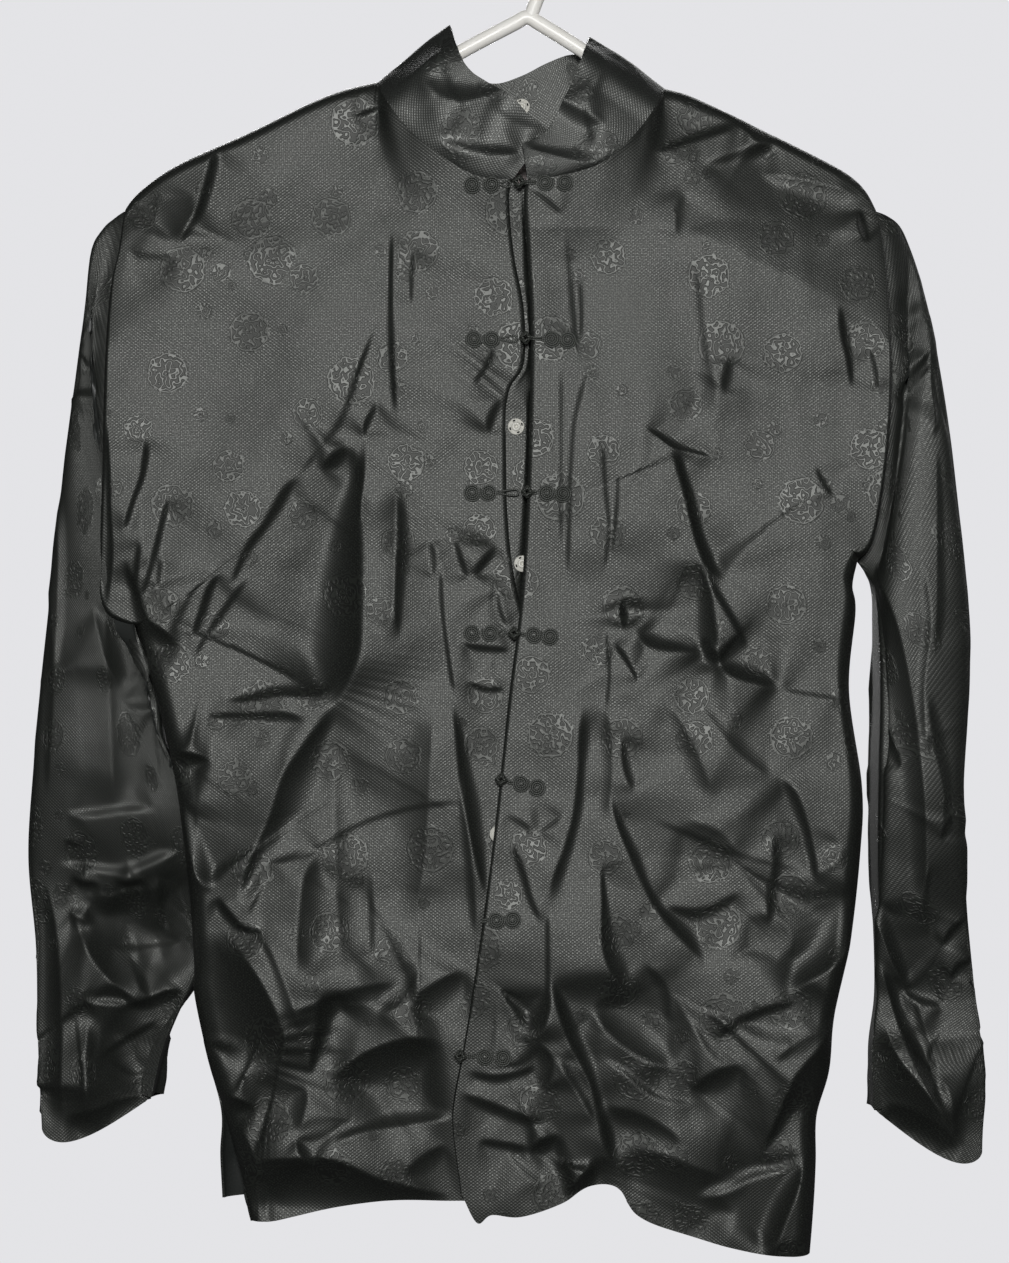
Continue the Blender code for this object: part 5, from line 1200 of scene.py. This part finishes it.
def tube(name, strands, radius, material, sides=8):
    """Round cord along one or more lines of places in millimetres, with rounded ends."""
    points, faces, cuts = [], [], []
    for places in strands:
        places = np.asarray(places, float)
        tangent = np.gradient(places, axis=0)
        tangent /= np.maximum(np.linalg.norm(tangent, axis=1, keepdims=True), 1e-9)
        normal = np.cross(tangent[0], (0.31, 0.9, 0.2))
        normal /= np.linalg.norm(normal)
        walked = 0.0
        first = len(points)
        size = len(places)
        for k in range(size):
            normal = normal - tangent[k] * (normal @ tangent[k])
            normal /= np.linalg.norm(normal)
            other = np.cross(tangent[k], normal)
            walked += np.linalg.norm(places[k] - places[k - 1]) if k else 0
            swell = 0.55 if k in (0, size - 1) else 1.0
            for m in range(sides):
                angle = 2 * math.pi * m / sides
                spoke = math.cos(angle) * normal + math.sin(angle) * other
                points.append(places[k] + radius * swell * spoke)
                cuts.append((walked, m / sides, 0))
        for k in range(size - 1):
            for m in range(sides):
                a, b = first + k * sides + m, first + k * sides + (m + 1) % sides
                faces.append((a, b, b + sides, a + sides))
        faces.append(tuple(first + m for m in reversed(range(sides))))
        faces.append(tuple(first + (size - 1) * sides + m for m in range(sides)))
    cut = np.array(cuts)
    cut[:, 0] *= MM
    return mesh_piece(name, points, faces, [material], cut)


def twisted_cord(name):
    """Twisted satin cord: slanting strands 1.3 mm apart with bump; the strands' paler colour is painted
    sheen and the dark lines between them painted shade in the grooves.
    """
    material, shader, tree = finish_of(name, "#3A3D3A", roughness=0.5, ior=1.5)
    way = add(tree, "ShaderNodeSeparateXYZ",
              {0: add(tree, "ShaderNodeAttribute", attribute_name="cut").outputs["Vector"]})
    turn = add(tree, "ShaderNodeMath", {0: way.outputs[0], 1: 1 / 0.0013, 2: way.outputs[1]},
               operation="MULTIPLY_ADD").outputs[0]
    strand = add(tree, "ShaderNodeMath", {0: turn, 1: 0.5}, operation="PINGPONG").outputs[0]
    strand = add(tree, "ShaderNodeMapRange", {0: strand, 1: 0.03, 2: 0.3}).outputs[0]
    # painted shade in the grooves, painted sheen on the strands
    shade = add(tree, "ShaderNodeMix", {0: strand, 6: linear("#0E0F0E"), 7: linear("#434641")},
                data_type="RGBA").outputs[2]
    tree.links.new(shade, shader.inputs["Base Color"])
    bump = add(tree, "ShaderNodeBump", {"Height": strand, "Strength": 0.6, "Distance": 0.00015})
    tree.links.new(bump.outputs[0], shader.inputs["Normal"])
    return material


cord = twisted_cord("twisted_satin_cord_black")


def lay(surface, across, up, anchor):
    """Places on a cloth face, raised by most of the cord's radius."""
    lift = surface.direction * (CORD_RADIUS * 0.9)
    return [(x, surface.depth(x, z, anchor) - lift, z) for x, z in zip(across, up)]


def coil(surface, across, up, start_angle, turn_way):
    """Flat spiral from its eye outwards."""
    shares = np.linspace(0.03, 1, int(COIL_TURNS * 20))
    radius = CORD_RADIUS * 0.9 + (COIL_RADIUS - CORD_RADIUS * 1.9) * shares
    angles = start_angle + turn_way * 2 * math.pi * COIL_TURNS * (shares - 1)
    return lay(surface, across + radius * np.cos(angles), up + radius * np.sin(angles), (across, up))


def button_knot(centre):
    """Ball knot: one cord woven over a sphere in three leads."""
    share = np.linspace(0, 2 * math.pi, 150)
    swing = 1.05 * np.sin(4 * share)
    turn = 3 * share
    radius = KNOT_RADIUS + 0.42 * np.cos(4 * share * 3)
    return np.column_stack([centre[0] + radius * np.cos(swing) * np.cos(turn),
                            centre[1] + radius * np.sin(swing) * 0.9,
                            centre[2] + radius * np.cos(swing) * np.sin(turn)])


def frog(number, up, right_outer, right_inner, loop_end, knot, left_inner, left_outer, drop):
    """Both halves of a closure. The left half hangs lower by its drop at the outer coil."""
    gap = CORD_RADIUS * 1.05
    strands = [coil(on_right, right_outer, up, -0.4, 1), coil(on_right, right_inner, up, 2.6, -1)]
    out = np.linspace(right_inner + COIL_RADIUS * 0.9, loop_end - LOOP_ROUND, 9)
    bend = np.linspace(math.pi / 2, -math.pi / 2, 11)[1:-1]
    spread = gap + (LOOP_HALF - gap) * smooth_step((out - out[0]) / (out[-1] - out[0]))
    across = np.concatenate([out, loop_end - LOOP_ROUND + LOOP_HALF * np.cos(bend), out[::-1]])
    level = np.concatenate([up + spread, up + LOOP_HALF * np.sin(bend), up - spread[::-1]])
    strands.append(lay(on_right, across, level, (right_inner, up)))
    loop = tube(f"frog_loop_{number}_cord", strands, CORD_RADIUS, cord)
    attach(loop, "root")
    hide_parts(f"frog_loop_{number}")

    inner_up = up - drop / 2
    strands = [coil(on_left, left_outer, up - drop, math.pi + 0.4, -1),
               coil(on_left, left_inner, inner_up, 0.5, 1)]
    end = left_inner - COIL_RADIUS - 3.0 if knot is None else knot
    out = np.linspace(left_inner - COIL_RADIUS * 0.9, end, 9)
    fall = inner_up + (up - inner_up) * np.linspace(0, 1, 9)
    for side in (1, -1):
        strands.append(lay(on_left, out, fall + side * gap, (left_inner, up)))
    if knot is not None:
        seat = min(on_left.depth(knot + 2, up, (left_inner, up)),
                   on_right.depth(knot - 2, up, (right_outer, up)))
        strands.append(button_knot((knot, seat - KNOT_RADIUS - CORD_RADIUS * 0.5, up)))
    half_frog = tube(f"frog_knot_{number}_cord", strands, CORD_RADIUS, cord)
    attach(half_frog, "root")
    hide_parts(f"frog_knot_{number}")


for number, row in enumerate(FROGS, 1):
    frog(number, *row)


# Press studs. Sew-on studs moulded in milky acetal: a flat flange held by four stitches of black
# thread, and a round boss in the middle with its socket.
STUDS_ON_UNDERLAP = ((-6.8, -321), (-3, -406))
STUD_UNDER_EDGE = (-18, -573)
STUD_ON_COLLAR = (-3, -116)
# height and radius of the turned profile, from the flange's rim to the socket's floor
STUD_PROFILE = ((0.0, 5.0), (0.35, 5.15), (0.75, 5.0), (0.95, 4.6), (1.0, 3.2), (1.15, 2.9), (1.7, 2.7),
                (2.0, 2.3), (2.1, 1.6), (1.5, 1.0), (0.8, 0.8), (0.7, 0.05))
STUD_SIDES = 40
STUD_SEAT = 0.4          # the flange stands this far off the foremost cloth under it
STUD_FLANGE = 5
STUD_HOLES = 3.85        # radius of the circle of sewing holes
THREAD_RADIUS = 0.5


def clear_acetal():
    """Moulded acetal: milky, glossy, with faint flow marks."""
    material, shader, tree = finish_of("moulded_acetal_milky", "#C9C8BF", roughness=0.4, ior=1.48)
    shader.inputs["Subsurface Weight"].default_value = 0.25
    shader.inputs["Subsurface Radius"].default_value = (0.002, 0.002, 0.002)
    shader.inputs["Subsurface Scale"].default_value = 0.4
    place = add(tree, "ShaderNodeTexCoord").outputs["Object"]
    flow = add(tree, "ShaderNodeTexNoise", {"Vector": place, "Scale": 420.0, "Detail": 2.0}).outputs[0]
    shade = add(tree, "ShaderNodeMix", {0: flow, 6: linear("#B4B3AA"), 7: linear("#DCDBD3")},
                data_type="RGBA").outputs[2]
    tree.links.new(shade, shader.inputs["Base Color"])
    return material


acetal = clear_acetal()
# spun polyester thread: matt and black, nearly lost in the holes
thread_black = finish_of("sewing_thread_black", "#0C0D0C", roughness=0.7, ior=1.5)[0]


def press_stud(node, surface, across, up):
    """A round stud seated on a cloth face, and the four stitches that hold it."""
    turns = 2 * math.pi * np.arange(STUD_SIDES) / STUD_SIDES
    way = surface.direction
    felt = [surface.depth(across + STUD_FLANGE * math.cos(a), up + STUD_FLANGE * math.sin(a), (across, up))
            for a in turns[::4]]
    seat = way * min(way * depth for depth in felt) - way * STUD_SEAT
    points = [(across + r * math.cos(a), seat - way * h, up + r * math.sin(a)) for h, r in STUD_PROFILE
              for a in turns]
    faces = []
    for ring in range(len(STUD_PROFILE) - 1):
        for k in range(STUD_SIDES):
            a, b = ring * STUD_SIDES + k, ring * STUD_SIDES + (k + 1) % STUD_SIDES
            quad = (a, b, b + STUD_SIDES, a + STUD_SIDES)
            faces.append(quad if way > 0 else quad[::-1])
    under = tuple(range(STUD_SIDES))
    cap = tuple(k + (len(STUD_PROFILE) - 1) * STUD_SIDES for k in under)
    faces += [under[::-1], cap] if way > 0 else [under, cap[::-1]]
    piece = mesh_piece(node + "_acetal", points, faces, [acetal])
    stitches = []
    for k in range(4):
        a = 0.35 + k * math.pi / 2
        line = []
        for swing, h in ((-0.2, 0.8), (-0.13, 1.2), (0.0, 1.3), (0.13, 1.2), (0.2, 0.8)):
            line.append((across + STUD_HOLES * math.cos(a + swing), seat - way * h,
                         up + STUD_HOLES * math.sin(a + swing)))
        stitches.append(line)
    thread = tube(node + "_thread", stitches, THREAD_RADIUS, thread_black)
    for part, slot in ((piece, "stud"), (thread, "cord")):
        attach(part, "root")
    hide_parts(node)


on_strip = Surface([underlap], -120, 1, 0.5)
for number, (across, up) in enumerate(STUDS_ON_UNDERLAP, 1):
    press_stud(f"stud_{number}", on_strip, across, up)
press_stud("stud_3", Surface([front_left], 0, -1, 0.5), *STUD_UNDER_EDGE)
press_stud("stud_collar", Surface([collar], 5, 1, 0.5), *STUD_ON_COLLAR)


# Hanger. Moulded white polypropylene: a round tube bent into two sloping arms that lie under the
# shoulder seams, and a hook on a short stem.
ARM_RADIUS = 4.6
HOOK_RADIUS = 4.4
HOOK_BEND = 22.0         # radius of the hook's centre line
HOOK_END = 205           # degrees, from its free end
HOOK_START = -25         # to the top of its stem
ARM_GAP = 1.1            # between an arm and the cloth over it
ARM_MEETS_SEAM = 0.2     # shares along the shoulder seam where an arm meets it,
LEFT_ARM_REACH = 0.86    # and where each arm ends
RIGHT_ARM_REACH = 0.82
APEX_UP = -64
STEM = ((13, -38), (7, -51), (1, -67))
ARM_APEX_LEFT = ((8, -68), (38, -87), (62, -105), (85, -121))
ARM_APEX_RIGHT = ((-8, -68), (-40, -85), (-66, -101), (-93, -117))


def moulded_white():
    """Moulded polypropylene: warm white, satin gloss, faint scuffs."""
    material, shader, tree = finish_of("moulded_polypropylene_white", "#F6F4EE", roughness=0.34, ior=1.49)
    place = add(tree, "ShaderNodeTexCoord").outputs["Object"]
    scuff = add(tree, "ShaderNodeTexNoise", {"Vector": place, "Scale": 90.0, "Detail": 5.0}).outputs[0]
    shade = add(tree, "ShaderNodeMix", {0: scuff, 6: linear("#EFECE4"), 7: linear("#FBFAF6")},
                data_type="RGBA").outputs[2]
    tree.links.new(shade, shader.inputs["Base Color"])
    gloss = add(tree, "ShaderNodeMapRange", {0: scuff, 1: 0.3, 2: 0.7, 3: 0.28, 4: 0.44}).outputs[0]
    tree.links.new(gloss, shader.inputs["Roughness"])
    return material


def arm_line(shoulder, visible, reach):
    """Centre line of an arm: down from the apex, then along the inside of the shoulder seam."""
    seam = even_curve(shoulder, np.linspace(ARM_MEETS_SEAM, reach, 8))
    along = np.gradient(seam, axis=0)
    along /= np.linalg.norm(along, axis=1, keepdims=True)
    down = np.column_stack([along[:, 1], -along[:, 0]])
    down *= -np.sign(down[:, 1:])
    centre = seam + (CLOTH + ARM_GAP + ARM_RADIUS) * down
    return np.vstack([np.array(visible, float), centre])


def make_hanger():
    """Both arms in one line over the apex, and the hook with its stem."""
    left = arm_line(LEFT_SHOULDER, ARM_APEX_LEFT, LEFT_ARM_REACH)
    right = arm_line(RIGHT_SHOULDER, ARM_APEX_RIGHT, RIGHT_ARM_REACH)
    arms = even_curve(np.vstack([right[::-1], [[0, APEX_UP]], left]), np.linspace(0, 1, 170))
    centre_up = HOOK_RADIUS - HOOK_BEND
    turn = np.radians(np.linspace(HOOK_END, HOOK_START, 60))
    bend = [(HOOK_BEND * math.cos(a), centre_up + HOOK_BEND * math.sin(a)) for a in turn]
    stem = even_curve(np.vstack([bend[-2:], np.array(STEM, float)]), np.linspace(0, 1, 24))[1:]
    hook = np.vstack([bend, stem])
    white = moulded_white()
    body = tube("hanger_arms", [[(x, 0, z) for x, z in arms]], ARM_RADIUS, white, sides=28)
    crook = tube("hanger_hook", [[(x, 0, z) for x, z in hook]], HOOK_RADIUS, white, sides=28)
    for part in (body, crook):
        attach(part, "root")
    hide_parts("hanger")


make_hanger()
